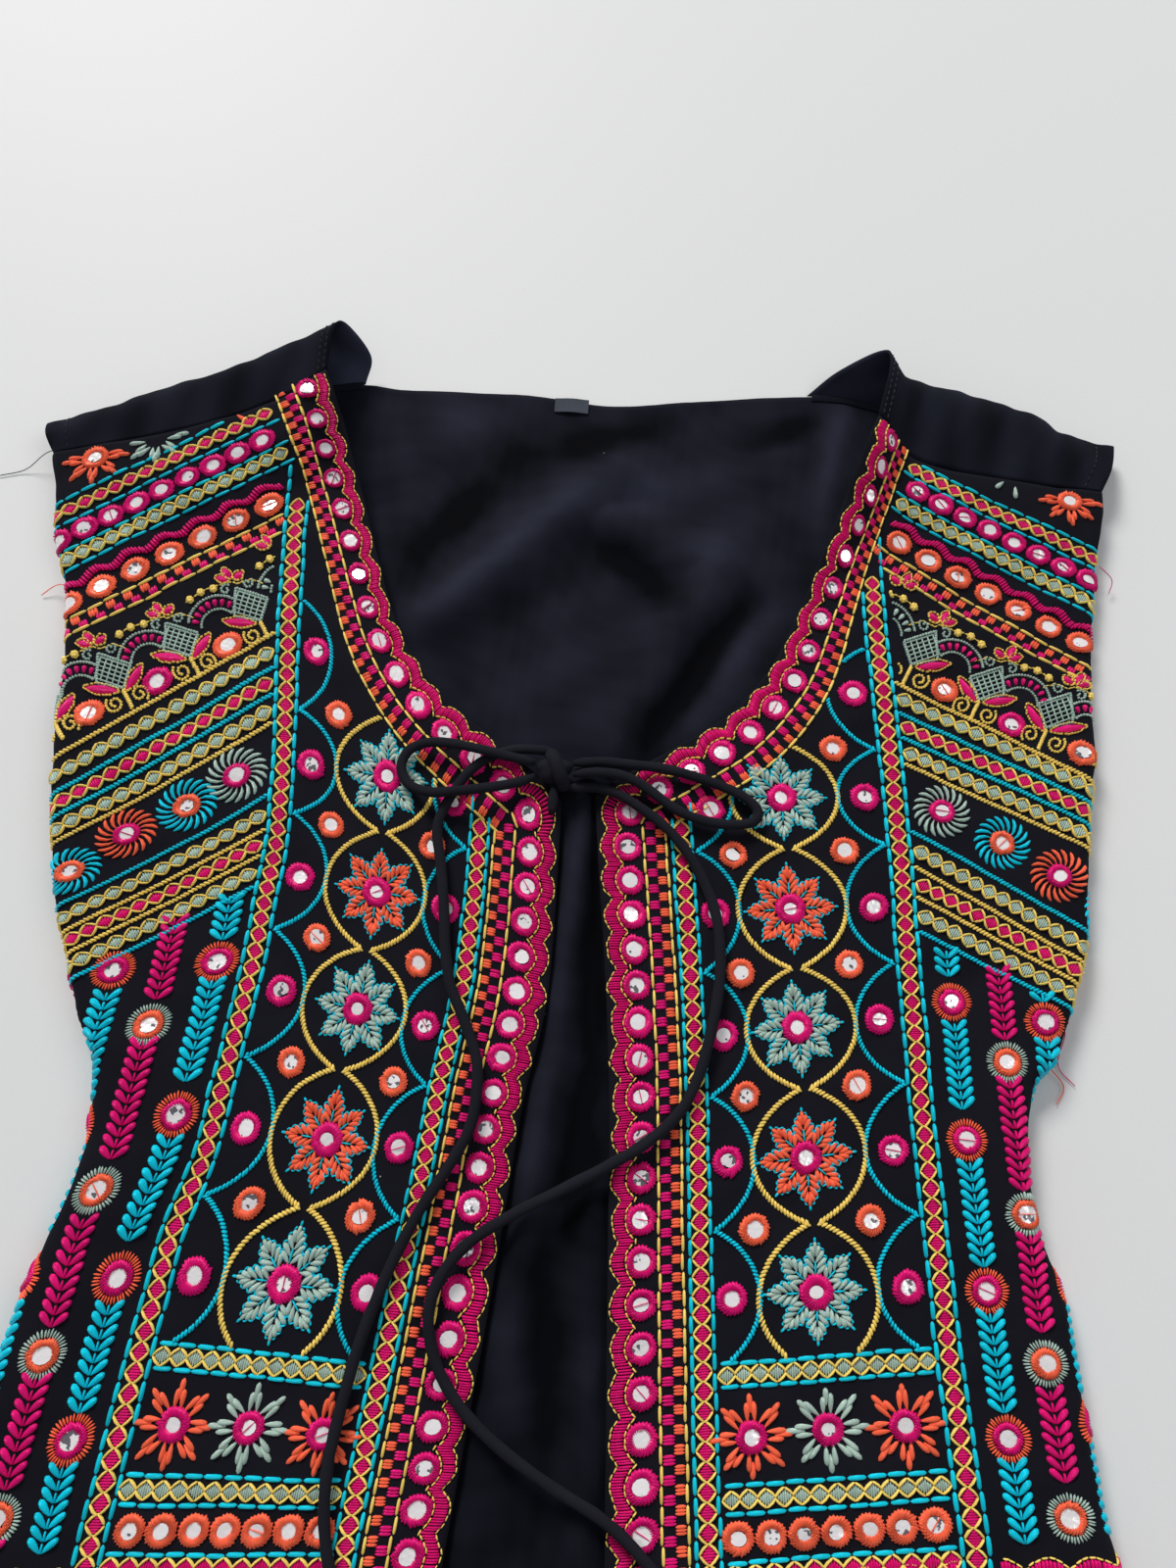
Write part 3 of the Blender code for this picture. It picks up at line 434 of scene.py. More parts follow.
def shoulder_point(side, across, along):
    """A point of a shoulder piece: across from the front seam to the back one, along to the neck."""
    table = SHOULDER[side]
    neck_u = neck_point(side)[0]
    seam_u = blend(TIP_U, neck_u, along)
    seam_v = read(SHOULDER_SEAM, 1, seam_u)
    seam = np.stack(front_point(side, seam_u, seam_v), -1)
    below = np.stack(front_point(side, seam_u, seam_v - 0.004), -1)
    seam = seam + unit(seam - below) * GAP * 1.4
    top, fold, lower = (
        np.stack([read(table, first + k, along) for k in range(3)], -1) for first in (1, 4, 7)
    )
    back_x = read(table, 10, along)
    back = np.stack([back_x, read(BACK_TOP, 1, back_x) + 2 * GAP, read(table, 11, along)], -1)
    stops = (seam, top, fold, lower, back)
    ghosts = (2 * seam - top,) + stops + (2 * back - lower,)
    place = np.clip(across * 4, 0, 3.999999)
    i = place.astype(int)
    t = (place - i)[..., None]
    stack = np.stack(ghosts, 0)
    pick = np.arange(len(across))
    return curve_between(*(stack[i + k, pick] for k in range(4)), t)


# The table and the camera

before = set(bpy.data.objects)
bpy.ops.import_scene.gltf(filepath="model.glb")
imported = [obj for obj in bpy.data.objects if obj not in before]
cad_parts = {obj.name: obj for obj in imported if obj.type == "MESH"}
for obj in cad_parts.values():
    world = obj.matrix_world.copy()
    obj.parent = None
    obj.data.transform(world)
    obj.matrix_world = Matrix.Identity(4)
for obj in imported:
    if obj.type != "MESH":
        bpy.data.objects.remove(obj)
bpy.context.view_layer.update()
rng = np.random.default_rng(11)

label_low, label_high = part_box("neck_label")
SHIFT = np.array([
    (label_low.x + label_high.x) / 2 - LABEL_PLACE[0],
    (label_low.y + label_high.y) / 2 - LABEL_PLACE[1],
    0.0,
])

CAMERA_HEIGHT = 0.41
CAMERA_TILT = math.radians(16.5)
CAMERA_LENS = 27.045


def link(thing):
    bpy.context.collection.objects.link(thing)
    return thing


def make_camera():
    data = bpy.data.cameras.new("camera")
    data.lens = CAMERA_LENS
    data.sensor_width = 36.0
    data.clip_start = 0.01
    camera = link(bpy.data.objects.new("camera", data))
    camera.location = (SHIFT[0], SHIFT[1], CAMERA_HEIGHT)
    camera.rotation_euler = (CAMERA_TILT, 0, 0)
    bpy.context.scene.camera = camera


def make_lamp(name, place, aim, size, energy, colour):
    data = bpy.data.lights.new(name, "AREA")
    data.shape = "RECTANGLE"
    data.size = size[0]
    data.size_y = size[1]
    data.energy = energy
    data.color = colour
    lamp = link(bpy.data.objects.new(name, data))
    lamp.location = place
    lamp.rotation_euler = (Vector(aim) - Vector(place)).to_track_quat("-Z", "Y").to_euler()
    return lamp


def make_world():
    world = bpy.data.worlds.new("studio")
    world.use_nodes = True
    sky = world.node_tree.nodes["Background"]
    sky.inputs["Color"].default_value = (0.93, 0.95, 1.0, 1.0)
    sky.inputs["Strength"].default_value = 0.33
    bpy.context.scene.world = world


make_camera()
make_world()
make_lamp("window", (-1.9, 4.7, 3.5), (0.0, 0.0, 0.0), (2.2, 1.7), 345.0, (1.0, 0.99, 0.97))
make_lamp("fill", (2.4, 0.2, 2.6), (0.0, 0.0, 0.0), (2.0, 2.0), 22.0, (0.97, 0.98, 1.0))
bpy.context.scene.view_settings.view_transform = "Standard"


# Shared shading

def group(name, inputs, outputs):
    """An empty shader node group: its tree, its input node and its output node."""
    tree = bpy.data.node_groups.new(name, "ShaderNodeTree")
    for label, kind, value in inputs:
        socket = tree.interface.new_socket(label, in_out="INPUT", socket_type=kind)
        socket.default_value = value
    for label, kind in outputs:
        tree.interface.new_socket(label, in_out="OUTPUT", socket_type=kind)
    return tree, tree.nodes.new("NodeGroupInput"), tree.nodes.new("NodeGroupOutput")


def node(tree, kind, **settings):
    made = tree.nodes.new(kind)
    for key, value in settings.items():
        if hasattr(made, key):
            setattr(made, key, value)
        else:
            made.inputs[key.replace("_", " ").title()].default_value = value
    return made


def texture(tree, kind, place, **settings):
    made = node(tree, kind, **settings)
    tree.links.new(place, made.inputs["Vector"])
    return made


def own_shade(tree):
    """The shade that each point of a mesh carries."""
    return node(tree, "ShaderNodeAttribute", attribute_name="shade").outputs["Fac"]


def toned(tree, colour, tone):
    made = node(tree, "ShaderNodeVectorMath", operation="SCALE")
    tree.links.new(colour, made.inputs[0])
    tree.links.new(tone, made.inputs["Scale"])
    return made.outputs[0]


def bump(tree, height, into, strength, distance):
    made = node(tree, "ShaderNodeBump", strength=strength, distance=distance)
    tree.links.new(height, made.inputs["Height"])
    tree.links.new(made.outputs[0], into)


def maths(tree, operation, a, b=None):
    made = tree.nodes.new("ShaderNodeMath")
    made.operation = operation
    for socket, value in zip(made.inputs, (a, b)):
        if value is None:
            continue
        if isinstance(value, (int, float)):
            socket.default_value = value
        else:
            tree.links.new(value, socket)
    return made.outputs[0]


def mix_colour(tree, share, a, b):
    made = tree.nodes.new("ShaderNodeMix")
    made.data_type = "RGBA"
    for socket, value in ((made.inputs[0], share), (made.inputs[6], a), (made.inputs[7], b)):
        if isinstance(value, (int, float, tuple)):
            socket.default_value = value
        else:
            tree.links.new(value, socket)
    return made.outputs[2]


def make_cotton_group():
    """Plain-woven cotton: warp and weft, slubs, soft rubbing and a little lint, its colour scaled by a
    painted light and shade input.
    """
    tree, given, result = group(
        "cotton",
        (("Colour", "NodeSocketColor", (0.01, 0.01, 0.014, 1.0)), ("Pitch", "NodeSocketFloat", 0.00042),
         ("Lint", "NodeSocketFloat", 1.0), ("Painted light and shade", "NodeSocketFloat", 1.0)),
        (("Colour", "NodeSocketColor"), ("Roughness", "NodeSocketFloat"), ("Normal", "NodeSocketVector")),
    )
    place = node(tree, "ShaderNodeTexCoord").outputs["Object"]
    parts = node(tree, "ShaderNodeSeparateXYZ")
    tree.links.new(place, parts.inputs[0])
    turn = maths(tree, "DIVIDE", 2 * math.pi, given.outputs["Pitch"])
    warp = maths(tree, "SINE", maths(tree, "MULTIPLY", parts.outputs[0], turn))
    weft = maths(tree, "SINE", maths(tree, "MULTIPLY", parts.outputs[1], turn))
    weave = maths(tree, "MULTIPLY", warp, weft)
    slub = texture(tree, "ShaderNodeTexNoise", place, scale=900.0, detail=2.0)
    rubbed = texture(tree, "ShaderNodeTexNoise", place, scale=38.0, detail=5.0)
    dots = texture(tree, "ShaderNodeTexVoronoi", place, scale=95.0)
    speck = maths(tree, "LESS_THAN", dots.outputs["Distance"], 0.022)
    rare = node(tree, "ShaderNodeSeparateColor")
    tree.links.new(dots.outputs["Color"], rare.inputs[0])
    speck = maths(tree, "MULTIPLY", speck, maths(tree, "GREATER_THAN", rare.outputs[0], 0.72))
    speck = maths(tree, "MULTIPLY", speck, given.outputs["Lint"])
    tone = maths(tree, "ADD", maths(tree, "MULTIPLY", rubbed.outputs["Fac"], 0.7), 0.62)
    # The weave and the slubs also lighten and darken the colour in step with their bumps: painted highlight
    # on the raised threads and painted shade in the hollows.
    tone = maths(tree, "ADD", tone, maths(tree, "MULTIPLY", weave, 0.16))
    tone = maths(tree, "ADD", tone, maths(tree, "MULTIPLY", slub.outputs["Fac"], 0.12))
    # The fourth input is painted light and shade: a factor on the colour that each mesh sets.
    tone = maths(tree, "MULTIPLY", tone, given.outputs["Painted light and shade"])
    colour = mix_colour(tree, speck, toned(tree, given.outputs["Colour"], tone), (0.42, 0.43, 0.46, 1.0))
    tree.links.new(colour, result.inputs["Colour"])
    rough = maths(tree, "ADD", maths(tree, "MULTIPLY", rubbed.outputs["Fac"], 0.16), 0.74)
    tree.links.new(rough, result.inputs["Roughness"])
    height = maths(tree, "ADD", weave, maths(tree, "MULTIPLY", slub.outputs["Fac"], 1.6))
    bump(tree, height, result.inputs["Normal"], 0.45, 0.00012)
    return tree


def make_floss_group():
    """Stranded floss: strands run along each stitch's own U, with a shade of its own for each stitch."""
    tree, given, result = group(
        "floss",
        (("Colour", "NodeSocketColor", (0.5, 0.02, 0.2, 1.0)), ("Strand", "NodeSocketFloat", 0.00022)),
        (("Colour", "NodeSocketColor"), ("Normal", "NodeSocketVector")),
    )
    flat = node(tree, "ShaderNodeUVMap", uv_map="UVMap").outputs[0]
    parts = node(tree, "ShaderNodeSeparateXYZ")
    tree.links.new(flat, parts.inputs[0])
    wander = texture(tree, "ShaderNodeTexNoise", flat, scale=420.0, detail=1.0)
    twist = maths(tree, "MULTIPLY", parts.outputs[0], 0.35)
    across = maths(tree, "ADD", parts.outputs[1], twist)
    across = maths(tree, "DIVIDE", across, given.outputs["Strand"])
    across = maths(tree, "ADD", across, maths(tree, "MULTIPLY", wander.outputs["Fac"], 1.6))
    strand = maths(tree, "SINE", maths(tree, "MULTIPLY", across, 2 * math.pi))
    # The strand wave that makes the bumps also lightens and darkens the colour: painted highlight on each
    # strand and painted shade between them. The shade attribute adds each stitch's own tone.
    tone = maths(tree, "ADD", maths(tree, "MULTIPLY", strand, 0.09), own_shade(tree))
    tree.links.new(toned(tree, given.outputs["Colour"], tone), result.inputs["Colour"])
    bump(tree, strand, result.inputs["Normal"], 0.5, 0.00008)
    return tree


COTTON = make_cotton_group()
FLOSS = make_floss_group()


def surface(name):
    """A new material: its tree and its Principled node."""
    material = bpy.data.materials.new(name)
    material.use_nodes = True
    return material, material.node_tree, material.node_tree.nodes["Principled BSDF"]


def use_group(tree, shared, values):
    used = tree.nodes.new("ShaderNodeGroup")
    used.node_tree = shared
    for label, value in values.items():
        used.inputs[label].default_value = value
    return used


def cotton(name, colour, lint=1.0):
    material, tree, shader = surface(name)
    used = use_group(tree, COTTON, {"Colour": (*colour, 1.0), "Lint": lint})
    # The shade attribute carries painted light and shade: lighter crease ridges and darker valleys on the
    # back, lit and shaded dents and a lighter collar flap on the yokes; it is one on the other cloth.
    tree.links.new(own_shade(tree), used.inputs["Painted light and shade"])
    for given, taken in (("Colour", "Base Color"), ("Roughness", "Roughness"), ("Normal", "Normal")):
        tree.links.new(used.outputs[given], shader.inputs[taken])
    shader.inputs["Specular IOR Level"].default_value = 0.04
    shader.inputs["Sheen Weight"].default_value = 0.02
    shader.inputs["Sheen Roughness"].default_value = 0.45
    shader.inputs["Sheen Tint"].default_value = (0.55, 0.62, 0.8, 1.0)
    return material


def floss(name, colour, gleam=0.5):
    """Shiny thread whose gleam takes the thread's own hue."""
    material, tree, shader = surface(name)
    used = use_group(tree, FLOSS, {"Colour": (*colour, 1.0)})
    tree.links.new(used.outputs["Colour"], shader.inputs["Base Color"])
    tree.links.new(used.outputs["Normal"], shader.inputs["Normal"])
    hue = [channel / max(colour) for channel in colour]
    shader.inputs["Roughness"].default_value = 0.32
    shader.inputs["Specular IOR Level"].default_value = gleam
    shader.inputs["Specular Tint"].default_value = (*[0.12 + 0.88 * channel for channel in hue], 1.0)
    return material


def mirror_foil(name):
    """Small glass mirrors, a little crumpled, with a painted reflection: a white colour broken by dark grey
    patches, each mirror with its own share of them.
    """
    material, tree, shader = surface(name)
    place = node(tree, "ShaderNodeTexCoord").outputs["Object"]
    crumple = texture(tree, "ShaderNodeTexVoronoi", place, scale=620.0)
    reflection_patches = texture(tree, "ShaderNodeTexNoise", place, scale=420.0, detail=2.0)
    # Painted reflection: the colour is dark grey where the noise is over the mirror's shade and white
    # elsewhere, standing in for what the mirror reflects.
    over = maths(tree, "SUBTRACT", reflection_patches.outputs["Fac"], own_shade(tree))
    dark_reflection = maths(tree, "GREATER_THAN", over, 0.0)
    colour = mix_colour(tree, dark_reflection, (1.0, 0.97, 0.97, 1.0), (0.16, 0.15, 0.17, 1.0))
    tree.links.new(colour, shader.inputs["Base Color"])
    shader.inputs["Metallic"].default_value = 0.35
    shader.inputs["Roughness"].default_value = 0.20
    bump(tree, crumple.outputs["Distance"], shader.inputs["Normal"], 0.35, 0.0003)
    return material


def table_top(name):
    """A plain pale table top with a faint grain."""
    material, tree, shader = surface(name)
    place = node(tree, "ShaderNodeTexCoord").outputs["Object"]
    grain = texture(tree, "ShaderNodeTexNoise", place, scale=700.0, detail=3.0)
    colour = mix_colour(tree, grain.outputs["Fac"], (0.715, 0.717, 0.712, 1.0), (0.745, 0.747, 0.742, 1.0))
    tree.links.new(colour, shader.inputs["Base Color"])
    shader.inputs["Roughness"].default_value = 0.55
    shader.inputs["Specular IOR Level"].default_value = 0.25
    return material


THREADS = {
    "magenta": (0.72, 0.004, 0.165),
    "orange": (1.0, 0.145, 0.065),
    "teal": (0.002, 0.60, 0.78),
    "gold": (1.0, 0.72, 0.165),
    "grey": (0.40, 0.53, 0.46),
    "black": (0.012, 0.012, 0.016),
}
GLEAM = {"black": 0.1}
FINISH = {name: floss("floss_" + name, colour, GLEAM.get(name, 1.0)) for name, colour in THREADS.items()}
FINISH["mirror"] = mirror_foil("mirror_glass")
BLACK_FRONT = cotton("black_cotton_front", (0.0082, 0.0082, 0.0122))
BLACK_BACK = cotton("black_cotton_back", (0.0100, 0.0108, 0.0175), lint=0.6)
BLACK_YOKE = cotton("black_cotton_yoke", (0.0080, 0.0088, 0.0145), lint=0.5)
# The tie cotton, used for the cords and the knot, is a lighter black than the rest of the cloth: painted
# highlight for the sheen of the cords.
BLACK_TIE = cotton("black_cotton_tie", (0.0125, 0.0128, 0.0175), lint=0.3)
LABEL = cotton("label_tape", (0.060, 0.070, 0.088), lint=0.0)


# Meshes from arrays

class Heap:
    """Many small pieces that become one mesh, with a UV map and a shade for each point."""

    def __init__(self):
        self.points = []
        self.faces = []
        self.flat = []
        self.shade = []
        self.count = 0

    def add(self, points, faces, flat, shade):
        """points is (copies, n, 3), faces (m, 4) of one copy, flat (copies, n, 2) and shade (copies,)."""
        copies, size = points.shape[:2]
        base = self.count + np.arange(copies)[:, None, None] * size
        self.points.append(points.reshape(-1, 3))
        self.faces.append((faces[None] + base).reshape(-1, 4))
        self.flat.append(np.broadcast_to(flat, (copies, size, 2)).reshape(-1, 2))
        self.shade.append(np.repeat(np.broadcast_to(shade, (copies,)), size))
        self.count += copies * size

    def build(self, name, material):
        """One object of all the pieces."""
        return build_mesh(
            name, np.concatenate(self.points), np.concatenate(self.faces), material,
            np.concatenate(self.flat), np.concatenate(self.shade),
        )


def write_shade(mesh, shade):
    """Gives each point of a mesh its shade."""
    layer = mesh.attributes.new("shade", "FLOAT", "POINT")
    layer.data.foreach_set("value", shade.astype(np.float32))


def build_mesh(name, points, faces, material, flat=None, shade=None):
    """An object of quads from arrays in the table frame, moved into the row frame."""
    mesh = bpy.data.meshes.new(name)
    mesh.vertices.add(len(points))
    mesh.vertices.foreach_set("co", (points + SHIFT).astype(np.float32).ravel())
    mesh.loops.add(faces.size)
    mesh.loops.foreach_set("vertex_index", faces.astype(np.int32).ravel())
    mesh.polygons.add(len(faces))
    mesh.polygons.foreach_set("loop_start", np.arange(0, faces.size, 4, dtype=np.int32))
    mesh.polygons.foreach_set("loop_total", np.full(len(faces), 4, dtype=np.int32))
    if flat is not None:
        layer = mesh.uv_layers.new(name="UVMap")
        layer.data.foreach_set("uv", flat[faces.ravel()].astype(np.float32).ravel())
    write_shade(mesh, np.ones(len(points)) if shade is None else shade)
    mesh.update(calc_edges=True)
    mesh.validate()
    mesh.shade_smooth()
    mesh.materials.append(material)
    return link(bpy.data.objects.new(name, mesh))


def grid_faces(rows, columns, wrap=False):
    """Quads of a grid of points numbered row by row."""
    i = np.arange(rows - 1)[:, None]
    j = np.arange(columns if wrap else columns - 1)[None, :]
    after = (j + 1) % columns
    faces = np.stack(np.broadcast_arrays(
        i * columns + j, i * columns + after, (i + 1) * columns + after, (i + 1) * columns + j,
    ), -1)
    return faces.reshape(-1, 4)


def thicken(piece, thickness):
    wall = piece.modifiers.new("thickness", "SOLIDIFY")
    wall.thickness = thickness
    wall.offset = 0.0
    wall.use_even_offset = True


# The cloth of the fronts

CLOTH = 0.0009
BASE_STEP = 0.001
TUCK_REST = 0.0003
BASE_U = np.arange(-0.002, 0.243, BASE_STEP)
BASE_V = np.arange(-0.1695, 0.300, BASE_STEP)

# Soft ripples of the embroidered cloth. Columns: waves a metre along u and v, turn, height
RIPPLES = (
    (31.0, 12.0, 0.3, 0.00022), (-17.0, 29.0, 1.7, 0.00026), (52.0, -37.0, 4.1, 0.00012),
    (9.0, 61.0, 2.6, 0.00012), (73.0, 22.0, 5.2, 0.00007), (-44.0, 83.0, 0.9, 0.00006),
)

# The embroidery of the left front sits a little nearer its edge. Columns: v, shift at the side column
LEFT_DRIFT = (
    (-0.168, 0.0), (-0.045, 0.0), (-0.012, -0.0042), (0.028, -0.0042), (0.080, -0.0034), (0.120, -0.0018),
    (0.200, 0.0),
)


def surface_normals(points, side):
    du = np.gradient(points, axis=0)
    dv = np.gradient(points, axis=1)
    return unit(np.cross(du, dv) * side)


def make_base(side):
    """Points and normals of the top of a front, on a fine grid of its cut."""
    u, v = np.meshgrid(BASE_U, BASE_V, indexing="ij")
    points = np.stack(front_point(side, u, v), -1)
    normal = surface_normals(points, side)
    ripple = np.full(u.shape, FRONT_WALL / 2)
    for wave_u, wave_v, turn, height in RIPPLES:
        ripple = ripple + height * np.sin(2 * math.pi * (wave_u * u + wave_v * v) + turn + side)
    points = points + normal * ripple[..., None]
    points[..., 2] = np.maximum(points[..., 2], TUCK_REST)
    return points, surface_normals(points, side)


BASE = {side: make_base(side) for side in (LEFT, RIGHT)}


def on_front(side, u, v, height):
    """Points over a front at places of its cut. Stitches under the rolled side lie pressed flat."""
    points, normals = BASE[side]
    height = np.asarray(height)
    row = np.clip((u - BASE_U[0]) / BASE_STEP, 0, len(BASE_U) - 1.001)
    column = np.clip((v - BASE_V[0]) / BASE_STEP, 0, len(BASE_V) - 1.001)
    i = row.astype(int)
    j = column.astype(int)
    a = (row - i)[..., None]
    b = (column - j)[..., None]

    def pick(table):
        return (table[i, j] * (1 - a) + table[i + 1, j] * a) * (1 - b) \
            + (table[i, j + 1] * (1 - a) + table[i + 1, j + 1] * a) * b

    normal = pick(normals)
    pressed = np.where(height > 0, 1 - 0.9 * np.clip(-1.3 * normal[..., 2], 0, 1), 1)
    return pick(points) + normal * (height * pressed)[..., None]


def lay(side, u, v, height):
    """Points of the embroidery over a front."""
    if side == LEFT:
        u = u + read(LEFT_DRIFT, 1, v) * np.clip((u - 0.02) / 0.07, 0, 1)
    return on_front(side, u, v, height)


FRONT_V = np.concatenate([
    np.linspace(-0.168, CORNER_V, 136)[:-1], np.linspace(CORNER_V, SHOULDER_FAN_V, 44),
])
FRONT_FAN = 36
FRONT_COLUMNS = 104


def make_front_cloth(name, side):
    fan = np.concatenate([np.zeros(len(FRONT_V)), np.linspace(0, 1, FRONT_FAN + 1)[1:]])
    v = np.concatenate([FRONT_V, np.full(FRONT_FAN, SHOULDER_FAN_V)])
    neck_v = v + fan * (neck_point(side)[1] - SHOULDER_FAN_V)
    tip_v = v + fan * (float(read(SHOULDER_SEAM, 1, TIP_U)) - SHOULDER_FAN_V)
    first = np.where(neck_v > CORNER_V, read(NECKLINE[side], 1, neck_v), 0)
    last = read(SIDE_CUT, 1, tip_v)
    share = np.linspace(0, 1, FRONT_COLUMNS)
    u = first[:, None] + (last - first)[:, None] * share
    rise = read(SHOULDER_SEAM, 1, u) - SHOULDER_FAN_V
    place = np.where(fan[:, None] > 0, SHOULDER_FAN_V + fan[:, None] * rise, v[:, None])
    points = on_front(side, u, place, np.full(u.shape, -CLOTH / 2)).reshape(-1, 3)
    faces = grid_faces(len(v), FRONT_COLUMNS)
    piece = build_mesh(name, points, facing(-side, faces), BLACK_FRONT)
    thicken(piece, CLOTH)
    return piece


# Stitches

def stitch_form(stops, spread):
    """One stitch: along, across and height shares of a low arch that tapers at its ends."""
    turn = np.linspace(0, math.pi, spread)
    along = np.repeat([stop[0] for stop in stops], spread)
    share = np.repeat([stop[1] for stop in stops], spread)
    across = -np.cos(np.tile(turn, len(stops))) * share
    rise = np.sin(np.tile(turn, len(stops))) * share
    return along, across, rise, grid_faces(len(stops), spread)


PLAIN = stitch_form(((0, 0.35), (0.12, 0.88), (0.5, 1.0), (0.88, 0.88), (1, 0.35)), 4)
SHORT = stitch_form(((0, 0.4), (0.25, 1.0), (0.75, 1.0), (1, 0.4)), 4)
DROP = stitch_form(((0, 0.25), (0.3, 0.75), (0.65, 1.0), (0.88, 0.85), (1, 0.3)), 4)
LEAF = stitch_form(((0, 0.1), (0.2, 0.62), (0.45, 1.0), (0.75, 0.72), (1, 0.08)), 5)
SATIN = stitch_form(((0, 0.5), (0.10, 0.92), (0.5, 1.0), (0.90, 0.92), (1, 0.5)), 4)
SINK = 0.00015

heaps = {}


def heap(side, colour):
    return heaps.setdefault((side, colour), Heap())


def shades(count, spread=0.13):
    return 1 + rng.uniform(-spread, spread * 0.7, count)


def stitch(side, colour, start, end, width, height, lift=0.0, form=PLAIN, bend=0.0):
    """Lays stitches from start to end, (n, 2) places of the cut, each as a rounded bundle of floss."""
    start = np.atleast_2d(start)
    end = np.atleast_2d(end)
    along, across, rise, faces = form
    run = end - start
    length = np.maximum(np.hypot(run[:, 0], run[:, 1]), 1e-6)
    normal = left_of(run) / length[:, None]
    width = np.broadcast_to(width, length.shape)
    off = across[None] * width[:, None] / 2 + bend * length[:, None] * 4 * along * (1 - along)
    place = start[:, None] + run[:, None] * along[None, :, None] + normal[:, None] * off[..., None]
    high = rise[None] * np.broadcast_to(height, length.shape)[:, None] + lift - SINK
    points = lay(side, place[..., 0], place[..., 1], high)
    flat = np.stack([along[None] * length[:, None], across[None] * width[:, None] / 2], -1)
    heap(side, colour).add(points, facing(side, faces), flat, shades(len(length)))


def spaced(line, pitch):
    """Places, directions and the step of even stations near a pitch apart on a line of points."""
    lengths = path_lengths(line)
    count = max(1, round(lengths[-1] / pitch))
    step = lengths[-1] / count
    wanted = (np.arange(count) + 0.5) * step
    behind, place, ahead = (at_lengths(wanted + k * step / 4, lengths, line) for k in (-1, 0, 1))
    return place, plane_unit(ahead - behind), step


def facing(side, faces):
    """Turns the faces of a right-hand piece so that they look up from the cloth."""
    return faces[:, ::-1] if side == RIGHT else faces


def left_of(run):
    """Directions turned a quarter to the left in the plane."""
    return np.stack([-run[:, 1], run[:, 0]], -1)


def jitter(count, size):
    return rng.normal(0, size, (count, 2))


def dashes(side, colour, line, pitch=0.0058, width=0.0014, height=0.0009, fill=0.90, lift=0.0):
    place, run, step = spaced(line, pitch)
    half = run * step * fill / 2
    wobble = jitter(len(place), 0.00012)
    stitch(side, colour, place - half + wobble, place + half + wobble, width, height, lift)


def rope(side, colour, line, pitch=0.00120, width=0.00092, height=0.0011, slant=1, reach_out=0.00060):
    """Stem stitch: short slanting stitches side by side like the lay of a rope."""
    place, run, _ = spaced(line, pitch)
    half = run * reach_out * 0.95 + left_of(run) * reach_out * slant
    wobble = jitter(len(place), 0.00005)
    stitch(side, colour, place - half + wobble, place + half + wobble, width, height, form=SHORT)


def chain(side, outline, fill, line, pitch=0.0056, half=0.0026):
    """A row of satin diamonds held in crossing strands."""
    place, run, step = spaced(line, pitch)
    out = left_of(run)
    for share in (-0.78, -0.47, -0.16, 0.16, 0.47, 0.78):
        middle = place + run * step * 0.42 * share
        reach_out = out * half * 0.98 * (1 - 0.86 * abs(share))
        stitch(side, fill, middle - reach_out, middle + reach_out, step * 0.155, 0.00085, form=SHORT)
    ends = (-run * step * 0.54, out * half * 1.08, run * step * 0.54, -out * half * 1.08)
    for a, b in zip(ends, ends[1:] + ends[:1]):
        wobble = jitter(len(place), 0.00009)
        stitch(side, outline, place + a + wobble, place + b + wobble, 0.00082, 0.0010, 0.00025, bend=0.07)


def bricks(side, colour, line, pitch, phase, size):
    """Satin blocks along a line: three stitches across it in each."""
    lengths = path_lengths(line)
    wanted = np.arange(phase * pitch, lengths[-1] - size[0] / 2, pitch)
    place = at_lengths(wanted, lengths, line)
    run = plane_unit(at_lengths(wanted + 0.0008, lengths, line) - place)
    out = left_of(run) * size[1] / 2
    for share in (-1, 0, 1):
        middle = place + run * size[0] * 0.32 * share + jitter(len(place), 0.00006)
        stitch(side, colour, middle - out, middle + out, size[0] * 0.40, 0.0008, form=SHORT)


def satin(side, colour, outer, inner, height, width=0.00105):
    """A band of satin stitches, one from each point of a line to the next line's."""
    wobble = jitter(len(outer), 0.00008)
    stitch(side, colour, outer + wobble, inner + wobble, width, height, form=SATIN)


RING_SHARE = np.array([0.0, 0.10, 0.45, 0.82, 1.0])
RING_RISE = np.array([0.0, 0.74, 1.0, 0.78, 0.30])


def rings(side, colour, centres, outer, inner, height, threads=26):
    """Buttonhole rings: satin stitches that run in from the rim, each a little ridge."""
    centres = np.atleast_2d(centres)
    count = len(centres)
    outer = np.broadcast_to(outer, (count,))
    inner = np.broadcast_to(inner, (count,))
    turn = np.arange(2 * threads) * math.pi / threads
    ridge = np.where(np.arange(2 * threads) % 2 == 0, 1.0, 0.36)
    rough = 1 + rng.normal(0, 0.034, (count, threads)).repeat(2, axis=1) - (1 - ridge) * 0.13
    rim = outer[:, None] * rough
    hole = inner[:, None] * (1 + rng.normal(0, 0.07, (count, threads)).repeat(2, axis=1))
    radius = rim[..., None] + (hole - rim)[..., None] * RING_SHARE
    twist = turn[None, :, None] + 0.42 * RING_SHARE[None, None, :]
    u = centres[:, 0, None, None] + radius * np.cos(twist)
    v = centres[:, 1, None, None] + radius * np.sin(twist)
    high = RING_RISE * ridge[:, None] * height - SINK
    points = lay(side, u, v, np.broadcast_to(high, u.shape))
    flat = np.stack(np.broadcast_arrays(
        RING_SHARE[None] * (outer - inner).mean(), turn[:, None] * 0.5 * outer.mean(),
    ), -1)
    seam = np.arange(4)
    last = (2 * threads - 1) * 5
    closing = np.stack([last + seam, last + seam + 1, seam + 1, seam], -1)
    faces = facing(side, np.concatenate([grid_faces(2 * threads, 5), closing]))
    heap(side, colour).add(points.reshape(count, -1, 3), faces, flat.reshape(1, -1, 2), shades(count, 0.08))


